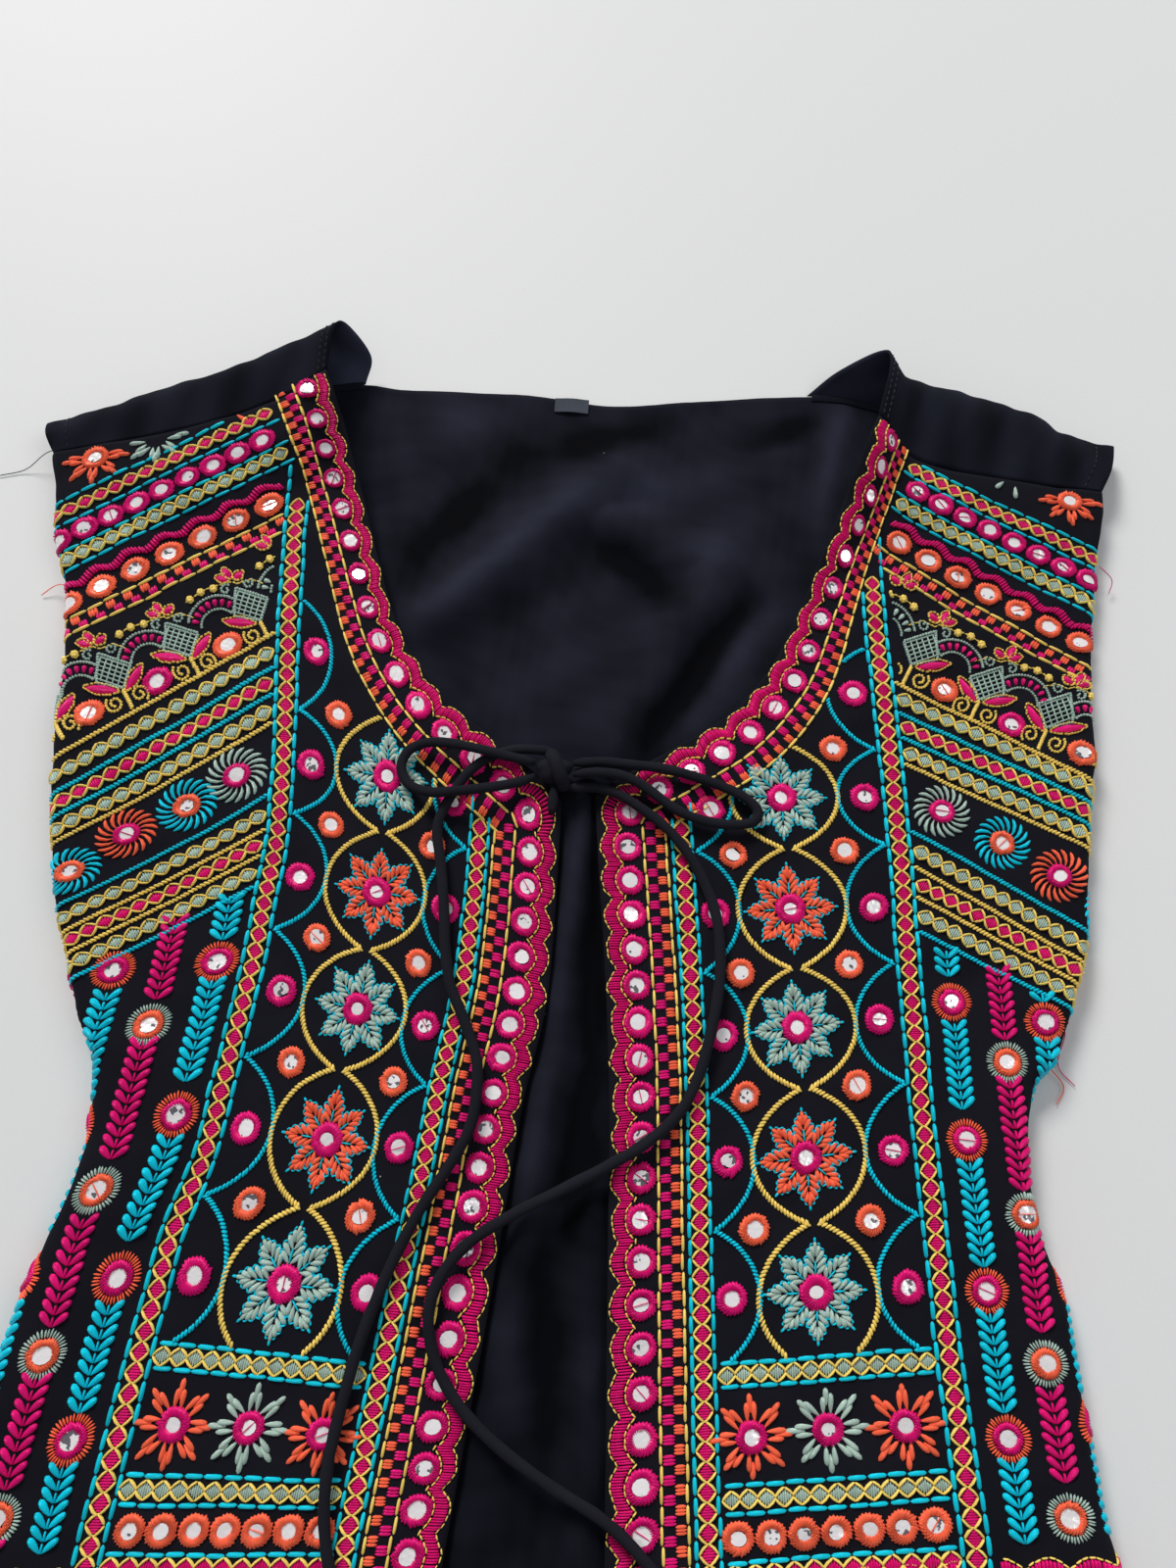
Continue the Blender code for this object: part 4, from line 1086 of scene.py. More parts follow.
def mirrors(side, centres, radius):
    """Round mirrors, each lying a little askew under its ring."""
    centres = np.atleast_2d(centres)
    count = len(centres)
    turn = np.arange(12) * math.pi / 6
    share = np.array([0.02, 0.6, 1.0])
    tilt = rng.normal(0, 0.09, (count, 2))
    radius = np.broadcast_to(radius, (count,)) * (1 + rng.normal(0, 0.05, count))
    a = radius[:, None, None] * share[None, :, None] * np.cos(turn)
    squash = rng.uniform(0.85, 1.05, count)[:, None, None]
    b = radius[:, None, None] * share[None, :, None] * np.sin(turn) * squash
    high = 0.00045 + tilt[:, 0, None, None] * a + tilt[:, 1, None, None] * b
    points = lay(side, centres[:, 0, None, None] + a, centres[:, 1, None, None] + b, high)
    faces = grid_faces(3, 12, wrap=True)
    flat = np.zeros((1, 36, 2))
    # Each mirror's shade sets how much of its painted reflection is dark.
    tone = rng.choice((0.56, 0.62, 0.70, 0.80, 0.95), count, p=(0.16, 0.24, 0.2, 0.2, 0.2))
    heap(side, "mirror").add(points.reshape(count, -1, 3), facing(side, faces), flat, tone)
    crossed = rng.random(count) < 0.3
    if crossed.any():
        way = rng.uniform(0, math.pi, crossed.sum())
        reach_out = headings(way) * radius[crossed, None] * 1.1
        return centres[crossed] - reach_out, centres[crossed] + reach_out
    return None


def rosettes(side, colour, centres, size=0.0105, mirror=0.0026, rim=None):
    """Mirror rosettes: a satin ring over a round mirror, some inside a second ring of open stitches."""
    centres = np.atleast_2d(np.asarray(centres, dtype=float))
    if not len(centres):
        return
    radius = size / 2 * (1 + rng.normal(0, 0.015, len(centres)))
    loose = mirrors(side, centres, mirror * 1.12)
    inner_radius = mirror * rng.uniform(0.80, 1.0, len(centres))
    if rim is None:
        rings(side, colour, centres, radius, inner_radius, 0.00135)
    else:
        rings(side, colour, centres, radius * 0.70, inner_radius, 0.00135)
        way = headings(np.arange(40) * math.pi / 20)
        start = (centres[:, None] + way[None] * (radius * 0.66)[:, None, None]).reshape(-1, 2)
        end = (centres[:, None] + way[None] * radius[:, None, None]).reshape(-1, 2)
        stitch(side, rim, start, end + jitter(len(end), 0.00012), 0.00062, 0.0008, form=SHORT)
    if loose is not None:
        stitch(side, colour, loose[0], loose[1], 0.00035, 0.0004, 0.0007)


# Lines on the cut, in centimetres

CM = 0.01

# Edge rosettes counted down from the neck, with the v of each; the others lie evenly between them
ROW_MARKS = {
    RIGHT: ((0, 9.9), (7, 1.66), (14, -7.44), (21, -16.6)),
    LEFT: ((0, 11.16), (7, 2.84), (14, -5.84), (22, -16.2)),
}

# The hem, the top of the inner column, the outer column, and the edge band's rosettes and rim
HEM_V = -16.8
INNER_TOP = 10.75
OUTER_U = 10.5
EDGE_ROW = 1.06
BAND_RIM = 2.40

# Steps along them, in metres
EDGE_STEP = 0.0005
NECK_PITCH = 0.0134


def line(*stops, step=0.05):
    """A straight or bent line through stops in centimetres, as points in metres."""
    stops = np.array(stops, dtype=float)
    lengths = path_lengths(stops)
    wanted = np.linspace(0, lengths[-1], max(2, int(lengths[-1] / step)))
    return at_lengths(wanted, lengths, stops) * CM


def level_line(v, start, end):
    """A line along one v, in centimetres like line's."""
    return line((start, v), (end, v))


def even(points, step):
    """The same line in even steps."""
    lengths = path_lengths(points)
    return at_lengths(np.arange(0, lengths[-1], step), lengths, points)


def soften(points, reach_steps, times):
    """Rounds the corners of an evenly stepped line and keeps its ends."""
    for _ in range(times):
        padded = np.concatenate([
            2 * points[:1] - points[reach_steps:0:-1], points,
            2 * points[-1:] - points[-2:-reach_steps - 2:-1],
        ])
        sums = np.cumsum(np.concatenate([np.zeros((1, 2)), padded]), axis=0)
        size = 2 * reach_steps + 1
        points = (sums[size:] - sums[:-size]) / size
    return points


def narrowing(v):
    """Width of the edge band as a share, which gets less up the neckline."""
    return 1 - 0.16 * ease(0.13, 0.20, v)


def outward_of(points):
    """Unit vectors from the edge into the front, at each point of a line."""
    return -left_of(plane_unit(np.gradient(points, axis=0)))


def make_edge(side):
    """The rosette line beside the front edge and neckline: points, outward normals and narrowing."""
    neck_v = np.arange(CORNER_V, neck_point(side)[1] - 0.001, EDGE_STEP)
    neck = np.stack([read(NECKLINE[side], 1, neck_v), neck_v], -1)
    neck = neck + outward_of(neck) * (EDGE_ROW * CM * narrowing(neck_v))[:, None]
    first = int(np.argmax(neck[:, 0] >= EDGE_ROW * CM))
    straight_v = np.arange(-0.1675, neck[first, 1], EDGE_STEP)
    straight = np.stack([np.full_like(straight_v, EDGE_ROW * CM), straight_v], -1)
    points = soften(even(np.concatenate([straight, neck[first:]]), EDGE_STEP), 8, 3)
    return points, soften(outward_of(points), 6, 2), narrowing(points[:, 1])


EDGE = {side: make_edge(side) for side in (LEFT, RIGHT)}


def beside(side, offset):
    """The line at an offset in centimetres from the front edge and the neckline."""
    points, outward, narrow = EDGE[side]
    return points + outward * ((offset - EDGE_ROW) * CM * narrow)[:, None]


def row_stations(side):
    """Lengths along the rosette line at which its rosettes sit."""
    points = EDGE[side][0]
    lengths = path_lengths(points)
    marks = ROW_MARKS[side]
    index = np.arange(marks[-1][0] + 1)
    heights = np.interp(index, [m[0] for m in marks], [m[1] for m in marks]) * CM
    straight = np.interp(heights, points[:, 1], lengths)[::-1]
    up = np.arange(straight[-1] + NECK_PITCH * 0.94, lengths[-1] - 0.004, NECK_PITCH)
    return np.concatenate([straight, up]), lengths


def clipped(side, points, clear=0.08):
    """The stretches of a line that stay clear of the edge band and the shoulder seam."""
    points = np.asarray(points)
    outward = EDGE[side][1]
    rim = beside(side, BAND_RIM)
    gaps = np.hypot(points[:, :1] - rim[None, :, 0], points[:, 1:] - rim[None, :, 1])
    nearest = gaps.argmin(axis=1)
    off = ((points - rim[nearest]) * outward[nearest]).sum(axis=1)
    free = (off > clear * CM) & (points[:, 1] < read(SHOULDER_SEAM, 1, points[:, 0]) - 0.0015)
    parts = np.split(np.arange(len(points)), np.where(np.diff(free.astype(int)) != 0)[0] + 1)
    return [points[part] for part in parts if free[part[0]] and len(part) > 3]


# The bands of the front edge

def edge_band(side):
    """Scallops and rosettes along the front edge and neckline, with rows of bricks beside them."""
    stations, lengths = row_stations(side)
    phase = np.interp(lengths, stations, np.arange(len(stations)))
    near = np.abs(np.cos(math.pi * phase))
    points, _, narrow = EDGE[side]
    drift = 0.03 * np.sin(lengths * 310) + 0.02 * np.sin(lengths * 790 + 1.0)
    inner = 0.88 - 0.34 * near ** 0.8
    outer = 0.11 + 0.27 * (1 - near) + drift
    dashes(side, "gold", beside(side, outer - 0.02), 0.0021, 0.00055, 0.0007, 0.86)
    dashes(side, "gold", beside(side, inner + 0.02), 0.0021, 0.00055, 0.0009, 0.86, 0.0003)
    wanted = np.arange(0, lengths[-1], 0.00082)
    rim, root = (at_lengths(wanted, lengths, beside(side, at)) for at in (outer + 0.02, inner - 0.03))
    satin(side, "magenta", rim, root, 0.0012, 0.00078)
    centres = at_lengths(stations, lengths, points)
    size = 0.0106 * np.interp(stations, lengths, narrow)
    rosettes(side, "magenta", centres, size, 0.0025)
    for offset in (1.63, BAND_RIM):
        dashes(side, "gold", beside(side, offset), 0.0056, 0.0011, 0.0009, 0.93)
    bricks(side, "magenta", beside(side, 1.87), 0.00556, 0.25, (0.0029, 0.0036))
    bricks(side, "orange", beside(side, 2.19), 0.00556, 0.75, (0.0029, 0.0031))


def inner_column(side):
    """The chain beside the edge band, between two rows of dashes."""
    chain(side, "gold", "magenta", line((2.95, HEM_V), (2.95, INNER_TOP)))
    dashes(side, "teal", line((2.62, HEM_V), (2.62, INNER_TOP + 0.15)))
    dashes(side, "teal", line((3.30, HEM_V), (3.30, INNER_TOP + 0.75)))


def outer_chain(side):
    """The line of the outer column's chain, as far as it shows."""
    return clipped(side, line((OUTER_U, HEM_V), (OUTER_U, 21.6)), 0.30)


def outer_column(side):
    """The chain up the side of the field, between two rows of dashes."""
    for part in outer_chain(side):
        chain(side, "gold", "magenta", part)
    for u in (10.12, 10.88):
        for part in clipped(side, line((u, HEM_V), (u, 23.2)), 0.12):
            dashes(side, "teal", part, 0.0060, 0.0016, 0.0010, 0.92)


# The field of ovals, arcs and flowers

OVAL_CUSPS = (13.65, 9.72, 5.48, 1.45, -2.80, -7.30)
RIGHT_ARC_CUSPS = (17.5, 13.45, 9.80, 5.50, 1.35, -2.80, -6.95)
LEFT_ARC_CUSPS = (13.6, 9.70, 5.50, 1.45, -2.78, -6.95)
OVAL_MIDDLE = 6.62
FIELD_FLOOR = -6.72
FLOWERS = (
    (6.55, 11.62, "grey", "teal"), (6.55, 7.55, "orange", "teal"), (6.48, 3.48, "grey", "teal"),
    (6.50, -0.75, "orange", "teal"), (6.56, -4.88, "grey", "teal"),
)
FIELD_ROSETTES = {
    "magenta": (
        (4.00, 11.2), (3.95, 7.48), (3.95, 3.40), (3.92, -0.66), (3.90, -4.88),
        (9.42, 15.65), (9.45, 11.60), (9.45, 7.52), (9.32, 3.56), (9.40, -0.76), (9.44, -4.95),
    ),
    "orange": (
        (4.70, 9.55), (4.66, 5.42), (4.60, 1.38), (4.70, -2.84),
        (8.50, 13.48), (8.58, 9.62), (8.45, 5.52), (8.38, 1.42), (8.45, -2.86),
    ),
}


def bulge(u0, width, top, bottom, start=0.6):
    """A bulging line between two pointed cusps."""
    turn = np.linspace(start, math.pi - start, 120)
    u = u0 + width * (np.sin(turn) - math.sin(start)) / (1 - math.sin(start))
    v = (top + bottom) / 2 + (top - bottom) / 2 * np.cos(turn) / math.cos(start)
    return np.stack([u, v], -1) * CM


def ropes_in_field(side, parts, colour, **settings):
    """Ropes along the parts of a line that lie over the field's lowest row."""
    for part in parts:
        part = part[part[:, 1] > FIELD_FLOOR * CM]
        if len(part) > 3:
            rope(side, colour, part, **settings)


def petal_flower(side, u, v, fill, outline):
    """Eight pointed petals round a rosette: leaflets of floss on a vein, edged in a second colour."""
    centre = np.array([u, v]) * CM
    spin = rng.uniform(-0.05, 0.05)
    root = np.array([0.33, 0.45, 0.57, 0.69])
    tip = np.array([0.52, 0.66, 0.80, 0.90])
    spread = np.array([0.215, 0.225, 0.165, 0.085])
    for k in range(8):
        turn = k * math.pi / 4 + math.pi / 2 + spin
        way = np.array([math.cos(turn), math.sin(turn)])
        out = np.array([-way[1], way[0]])
        long = 0.0154 * rng.uniform(0.95, 1.05)
        for sign in (-1, 1):
            start = centre + way * long * root[:, None] + out * sign * 0.0003
            end = centre + way * long * tip[:, None] + out * sign * long * spread[:, None]
            stitch(side, fill, start, end, 0.00185, 0.0012, form=DROP)
            edge = end + way * 0.0002 + out * sign * 0.0003
            aside = out * sign * long
            inner = centre + way * long * (root + 0.06)[:, None] + aside * (spread * 0.72)[:, None]
            stitch(side, outline, edge, inner, 0.00062, 0.0008, form=SHORT)
            notch = centre + way * long * (tip + 0.055)[:, None] + aside * (spread * 0.66)[:, None]
            stitch(side, outline, edge, notch, 0.00066, 0.0008, form=SHORT)
        petal = way * long
        stitch(side, fill, centre + petal * 0.74, centre + petal * 0.99, 0.0014, 0.0012, form=DROP)
        stitch(side, outline, centre + petal * 0.96, centre + petal * 1.07, 0.0009, 0.0009, form=SHORT)
        stitch(side, outline, centre + petal * 0.34, centre + petal * 0.60, 0.0005, 0.0013, form=SHORT)
    rosettes(side, "magenta", [centre], 0.0114, 0.0022)


def star_flower(side, u, v, colour, size=1.25, middle="magenta", limit=None):
    """Eight points of three long stitches each round a rosette."""
    centre = np.array([u, v]) * CM
    starts = []
    ends = []
    for k in range(8):
        turn = k * math.pi / 4 + math.pi / 2
        for lean, inner_end, outer_end in ((-0.19, 0.36, 0.80), (0.19, 0.36, 0.80), (0.0, 0.55, 1.0)):
            way = np.array([math.cos(turn + lean * 1.3), math.sin(turn + lean * 1.3)])
            tip = np.array([math.cos(turn + lean * 0.6), math.sin(turn + lean * 0.6)])
            starts.append(centre + way * size * CM * inner_end)
            ends.append(centre + tip * size * CM * outer_end)
    starts = np.array(starts)
    ends = np.array(ends) + jitter(len(ends), 0.0003)
    if limit is not None:
        shown = np.maximum(starts[:, 1], ends[:, 1]) < read(SHOULDER_SEAM, 1, ends[:, 0]) - 0.0012
        starts = starts[shown]
        ends = ends[shown]
    stitch(side, colour, starts, ends, 0.0019, 0.0012, form=DROP)
    if limit is None or v * CM < limit:
        rosettes(side, middle, [centre], size * CM * 0.82, 0.0021)


def field(side):
    """Ovals, arcs and flowers between the columns, and the rows of stars and rosettes below."""
    for top, bottom in zip(OVAL_CUSPS, OVAL_CUSPS[1:]):
        for sign in (-1, 1):
            oval = bulge(OVAL_MIDDLE + 0.16 * sign, 1.72 * sign, top, bottom, 0.55)
            shown = clipped(side, oval)
            ropes_in_field(side, shown, "gold", slant=sign, pitch=0.00132, width=0.0011, reach_out=0.00084)
    for top, bottom in zip(RIGHT_ARC_CUSPS, RIGHT_ARC_CUSPS[1:]):
        reach_out = 1.16 if side == LEFT and top > 17 else 1.50
        arc = clipped(side, bulge(10.0, -reach_out, top, bottom, 0.62))
        ropes_in_field(side, arc, "teal", slant=-1, pitch=0.00128, width=0.00105, reach_out=0.00072)
    for top, bottom in zip(LEFT_ARC_CUSPS, LEFT_ARC_CUSPS[1:]):
        arc = clipped(side, bulge(3.42, 1.38, top, bottom, 0.62))
        ropes_in_field(side, arc, "teal", pitch=0.00128, width=0.00105, reach_out=0.00072)
    for flower in FLOWERS:
        petal_flower(side, *flower)
    for colour, places in FIELD_ROSETTES.items():
        rosettes(side, colour, np.array(places) * CM, 0.0108 if colour == "magenta" else 0.0104, 0.0024)
    for v in (-6.78, -7.46, -10.22, -10.98, -12.28):
        dashes(side, "teal", level_line(v, 3.45, 10.0), 0.0062, 0.0016, 0.0010, 0.92)
    for v in (-7.12, -10.60):
        chain(side, "gold", "grey", level_line(v, 3.4, 10.05), 0.0052, 0.0024)
    for u, v, colour in ((4.34, -8.90, "orange"), (6.62, -8.84, "grey"), (8.92, -8.90, "orange")):
        star_flower(side, u, v, colour)
    rosettes(side, "orange", [((3.80 + 0.94 * k) * CM, -11.64 * CM) for k in range(7)], 0.0098, 0.0021)
    chain(side, "gold", "magenta", level_line(-12.62, 3.4, 10.05))
    dashes(side, "teal", level_line(-12.95, 3.45, 10.0), 0.0062, 0.0016, 0.0010, 0.92)


# The slanting bands of the shoulder

# How the bands of each side lie, in centimetres at the outer column. Columns: band, shift, slope
BAND_LIE = {
    RIGHT: ((6.6, 0.0, 0.56), (10.0, 0.0, 0.64), (13.0, 0.0, 0.52), (15.7, 0.0, 0.565), (16.25, 0.0, 0.594),
            (21.3, 0.0, 0.67), (22.6, 0.0, 0.63), (24.4, 0.0, 0.56), (25.5, 0.0, 0.545), (26.6, 0.0, 0.49)),
    LEFT: ((6.6, 0.25, 0.585), (10.0, 0.05, 0.585), (13.0, 0.10, 0.50), (15.7, 0.05, 0.485),
           (16.25, 0.11, 0.47), (21.3, -0.70, 0.42), (22.6, -0.80, 0.425), (24.4, -0.44, 0.455),
           (25.5, -0.42, 0.455), (26.6, 0.05, 0.45)),
}

# Where bands start: by the outer column, a little nearer to it, and where it has ended below.
# They end where the cloth does, and by BAND_END at the latest
BAND_FROM = 11.0
NEAR_COLUMN = 10.95
NECK_BAND_FROM = 9.4
BAND_END = {RIGHT: 19.6, LEFT: 19.9}

# The u that the bands slope about, and the one in metres at which the ornament starts
BAND_PIVOT = 10.85
ORNAMENT_FROM = 0.1115

# Groups of rope bands and the chains between them, top and bottom. Columns: level, colour
ROPE_GROUPS = (
    (((16.20, "gold"), (14.97, "teal"), (13.97, "teal"), (12.92, "gold")),
     ((15.62, "grey"), (14.47, "magenta"), (13.42, "grey"))),
    (((10.38, "teal"), (9.05, "gold"), (7.95, "gold"), (6.66, "teal")),
     ((9.72, "grey"), (8.50, "magenta"), (7.32, "grey"))),
)

# Stars under the shoulder seam, the first with a rosette. Columns: u, v, colour, size, rosette colour
SEAM_STARS = {
    RIGHT: ((18.3, 24.75, "orange", 1.15, "orange"), (16.3, 25.75, "grey", 1.1, "grey")),
    LEFT: (
        (17.8, 24.80, "orange", 1.15, "orange"), (15.75, 25.30, "grey", 1.1, "magenta"),
        (13.4, 26.20, "orange", 1.1, "orange"),
    ),
}


def band_v(side, band, u):
    """Where a band lies at each u, in centimetres."""
    table = BAND_LIE[side]
    return band + read(table, 1, band) - read(table, 2, band) * (u - BAND_PIVOT)


def band_line(side, band, start):
    """A band of the shoulder as far as the cloth goes, in metres."""
    u = np.arange(start, BAND_END[side], 0.05)
    v = band_v(side, band, u)
    points = np.stack([u, v], -1) * CM
    on_cloth = points[:, 0] < read(SIDE_CUT, 1, points[:, 1]) - 0.001
    return points[on_cloth]


def band_parts(side, level, start=BAND_FROM, clear=0.08):
    """A band's line from the outer column, or from the neck band where the column has ended below it."""
    column_top = max(part[-1, 1] for part in outer_chain(side))
    if band_v(side, level, OUTER_U) * CM > column_top + 0.009:
        start = NECK_BAND_FROM
    return clipped(side, band_line(side, level, start), clear)


def bands(side, kind, colour, levels, start=BAND_FROM, **settings):
    for level in levels:
        for part in band_parts(side, level, start):
            kind(side, colour, part, **settings)


def zigzag(side):
    """The magenta satin scallops over the orange rosettes, worked in steps."""
    path = band_parts(side, 22.62, NEAR_COLUMN, 0.30)[-1]
    place, _, step = spaced(path, 0.0118)
    lengths = path_lengths(path)
    wanted = np.arange(0, lengths[-1], 0.00105)
    middle = at_lengths(wanted, lengths, path)
    phase = wanted / step - 0.5
    near = np.clip(np.abs(2 * (phase % 1) - 1) * 1.5 - 0.2, 0, 1)
    way = plane_unit(np.gradient(middle, axis=0))
    up = left_of(way)
    low = middle + up * (0.0040 + 0.0026 * near)[:, None]
    high = low + up * 0.0033
    lean = way * 0.0005
    satin(side, "magenta", high + lean, low - lean, 0.0014, 0.00100)
    return place


# How the ornament lies on the cut: places in it are across and up, in centimetres
ORNAMENT_LIE = {RIGHT: ((1.00, 0.14), (0.02, 1.19)), LEFT: ((0.93, 0.09), (0.17, 1.07))}

# Middles of the ornament's lattices, the first of them off the cloth
LATTICES = {
    RIGHT: ((9.80, 18.95), (12.12, 17.48), (14.37, 16.04), (16.68, 14.90), (18.98, 13.95)),
    LEFT: ((9.65, 18.35), (11.90, 17.40), (14.16, 16.46), (16.33, 15.68), (18.50, 14.95)),
}

# Middle of the arch in each repeat, and the thin stem along the top: across and up
ARCH = (1.06, -0.70)
VINE = ((-0.56, 0.92), (-0.07, 1.09), (0.42, 0.90), (0.60, 0.98), (1.2, 0.78), (1.7, 0.62), (2.3, 0.2))


def ornament(side, k):
    """One repeat of the ornament: lattice, arch, leaves, scrolls, knots, a small flower and a rosette."""
    (across_u, up_u), (across_v, up_v) = ORNAMENT_LIE[side]
    middle = np.array(LATTICES[side][k])
    whole = k > 0

    def spot(a, b):
        a = np.asarray(a, dtype=float)
        b = np.asarray(b, dtype=float)
        return np.stack([middle[0] + across_u * a + up_u * b, middle[1] + across_v * a + up_v * b], -1) * CM

    def arc(a, b, radius, turn):
        return spot(a + radius * np.cos(turn), b + radius * np.sin(turn))

    def on_cloth(points):
        side_limit = read(SIDE_CUT, 1, points[..., 1]) - 0.0015
        return (points[..., 0] > ORNAMENT_FROM) & (points[..., 0] < side_limit)

    def bars(colour, start, end, width, height, lift=0.0, form=PLAIN):
        shown = on_cloth(start) & on_cloth(end)
        if shown.any():
            stitch(side, colour, start[shown], end[shown], width, height, lift, form)

    def thread(colour, points, width=0.00085, reach_out=0.00034, pitch=0.00105):
        points = points[on_cloth(points)]
        if len(points) > 4:
            rope(side, colour, points, pitch, width, 0.0010, 1, reach_out)

    def spiral(colour, a, b, size, turns, start, flip, width=0.00110):
        turn = np.linspace(0, turns * 2 * math.pi, 80)
        radius = size * (1 - 0.78 * turn / turn[-1])
        swing = turn + start
        thread(colour, spot(a + flip * radius * np.cos(swing), b + radius * np.sin(swing)), width)

    def edged_leaf(start, end, wide):
        start = np.array(start)
        end = np.array(end)
        root = spot(*start)[None]
        tip = spot(*end)[None]
        if not (on_cloth(root) & on_cloth(tip)).all():
            return
        bars("magenta", root, tip, wide * CM * 1.9, 0.0013, 0.0, LEAF)
        share = np.linspace(0, 1, 30)
        run = end - start
        off = np.array([-run[1], run[0]]) / np.hypot(*run)
        for sign in (-1, 1):
            swell = wide * 1.12 * np.sin(math.pi * share) ** 0.75
            rim = start + run * share[:, None] + off * sign * swell[:, None]
            dashes(side, "gold", spot(rim[:, 0], rim[:, 1]), 0.00125, 0.00055, 0.0012, 0.9)

    if whole:
        ticks = np.linspace(-0.86, 0.86, 6)
        for a, b in (((0.58, 0.195), (-0.14, 0.42)), ((-0.14, 0.42), (0.58, 0.195))):
            a = np.array(a)
            b = np.array(b)
            starts = [-0.03, 0.07] + a * ticks[:, None] - b
            ends = [-0.03, 0.07] + a * ticks[:, None] + b
            bars("grey", spot(*starts.T), spot(*ends.T), 0.00055, 0.0008, 0.0001)
        corners = np.array([[-0.70, 0.35], [0.46, 0.74], [0.53, -0.32], [-0.42, -0.49], [-0.70, 0.35]])
        frame = even(corners, 0.02)
        thread("grey", spot(frame[:, 0], frame[:, 1]), 0.0010, 0.00042)
        edged_leaf((-0.49, -0.60), (-1.13, 0.37), 0.19)
        edged_leaf((-0.28, -0.60), (1.02, -0.46), 0.18)
        spiral("gold", -0.99, -0.69, 0.33, 1.45, -0.7, -1)
        spiral("gold", -0.09, -1.04, 0.33, 1.45, 2.6, -1)
        stem = np.linspace(0, 1, 30)
        thread("gold", spot(-0.72 + 0.33 * stem, -1.20 + 0.66 * stem), 0.0012, 0.00060)
        if on_cloth(spot(1.25, -1.36)[None]).all():
            rosettes(side, "magenta" if k % 2 == 0 else "orange", [spot(0.80, -1.36)], 0.0106, 0.0023)
        spiral("grey", 0.04, 0.93, 0.21, 1.15, 2.2, 1, 0.0009)
    spiral("grey", 0.82, 0.66, 0.21, 1.15, 0.9, -1, 0.0009)
    outer = np.linspace(math.radians(117), math.radians(6), 60)
    inner = np.linspace(math.radians(131), math.radians(-6), 60)
    thread("grey", arc(*ARCH, 1.14, outer), 0.0010, 0.00040)
    thread("grey", arc(*ARCH, 0.66, inner), 0.0009, 0.00036)
    rays = np.radians([113, 96, 79, 62, 45, 28, 11])
    fill = "magenta" if whole else "grey"
    bars(fill, arc(*ARCH, 0.76, rays), arc(*ARCH, 1.02, rays), 0.0017, 0.0012, 0.0, DROP)
    move = 0.0 if whole else 1.05
    for tip in ((0.18, 1.40), (0.93, 1.52), (1.22, 1.13)):
        root = (0.60 + 0.12 * (tip[0] - 0.6) + move, 1.0 + 0.12 * (tip[1] - 1.0))
        edged_leaf(root, (tip[0] + move, tip[1]), 0.15)
    for a, b in ((1.27, 0.70), (1.73, 0.57), (2.13, 0.30)):
        turn = np.arange(7) * 2 * math.pi / 7
        bars("gold", arc(a, b, -0.03, turn), arc(a, b, 0.15, turn), 0.0012, 0.0016, 0.0, SHORT)
    vine = spot(*even(np.array(VINE), 0.02).T)
    vine = vine[on_cloth(vine)]
    if len(vine) > 4:
        dashes(side, "gold", vine, 0.0015, 0.00055, 0.0007, 0.95)


def shoulder_bands(side):
    """The slanting bands from the shoulder seam down, with the ornament and the stars."""
    bands(side, dashes, "teal", (26.62, 25.90))
    for part in band_parts(side, 26.25, 11.3, 0.30):
        chain(side, "gold", "magenta", part, 0.0054, 0.0024)
    for part in band_parts(side, 25.38, 11.45, 0.45):
        rosettes(side, "magenta", spaced(part, 0.0093)[0], 0.0096, 0.0021)
    bands(side, dashes, "teal", (24.78, 23.92))
    for part in band_parts(side, 24.36, 11.05, 0.25):
        chain(side, "gold", "grey", part, 0.0052, 0.0027)
    rosettes(side, "orange", zigzag(side), 0.0102, 0.0025)
    edging = {"pitch": 0.0060, "width": 0.0012, "height": 0.0010, "fill": 0.94}
    bands(side, dashes, "gold", (21.86, 21.04), NEAR_COLUMN, **edging)
    for level, colour, phase in ((21.58, "orange", 0.2), (21.27, "magenta", 0.7)):
        for part in band_parts(side, level, NEAR_COLUMN):
            bricks(side, colour, part, 0.0060, phase, (0.0030, 0.0033 if colour == "orange" else 0.0027))
    for k in range(len(LATTICES[side])):
        ornament(side, k)
    for ropes, chains in ROPE_GROUPS:
        for level, colour in ropes:
            bands(side, rope, colour, (level,), NEAR_COLUMN, pitch=0.00132, width=0.00105, reach_out=0.00078)
        for level, colour in chains:
            for part in band_parts(side, level, clear=0.25):
                chain(side, "gold", colour, part, 0.0054, 0.0025)
    for i, star in enumerate(SEAM_STARS[side]):
        star_flower(side, *star, neck_point(side)[1] if i == 0 else 0.0)


# Columns: u, v, colour, rosette colour
PINWHEELS = {
    RIGHT: ((12.1, 11.05, "grey", "magenta"), (14.1, 9.86, "teal", "orange"),
            (15.95, 8.62, "orange", "magenta"), (17.8, 7.4, "teal", "orange")),
    LEFT: ((12.0, 11.24, "grey", "magenta"), (13.55, 10.36, "teal", "orange"),
           (15.4, 9.55, "orange", "magenta"), (17.0, 8.25, "teal", "orange")),
}


def pinwheels(side):
    """Wheels of curved stitches round a rosette."""
    for u, v, colour, middle in PINWHEELS[side]:
        centre = np.array([u, v]) * CM
        turn = np.arange(19) * 2 * math.pi / 19
        root = centre + 0.0042 * headings(turn)
        tip = centre + 0.0100 * headings(turn + 0.42)
        stitch(side, colour, root, tip, 0.0014, 0.0011, form=DROP, bend=-0.16)
        rosettes(side, middle, [centre], 0.0094, 0.0022)


LEAF_PITCH = 0.325
LEAF_HEM = -12.2

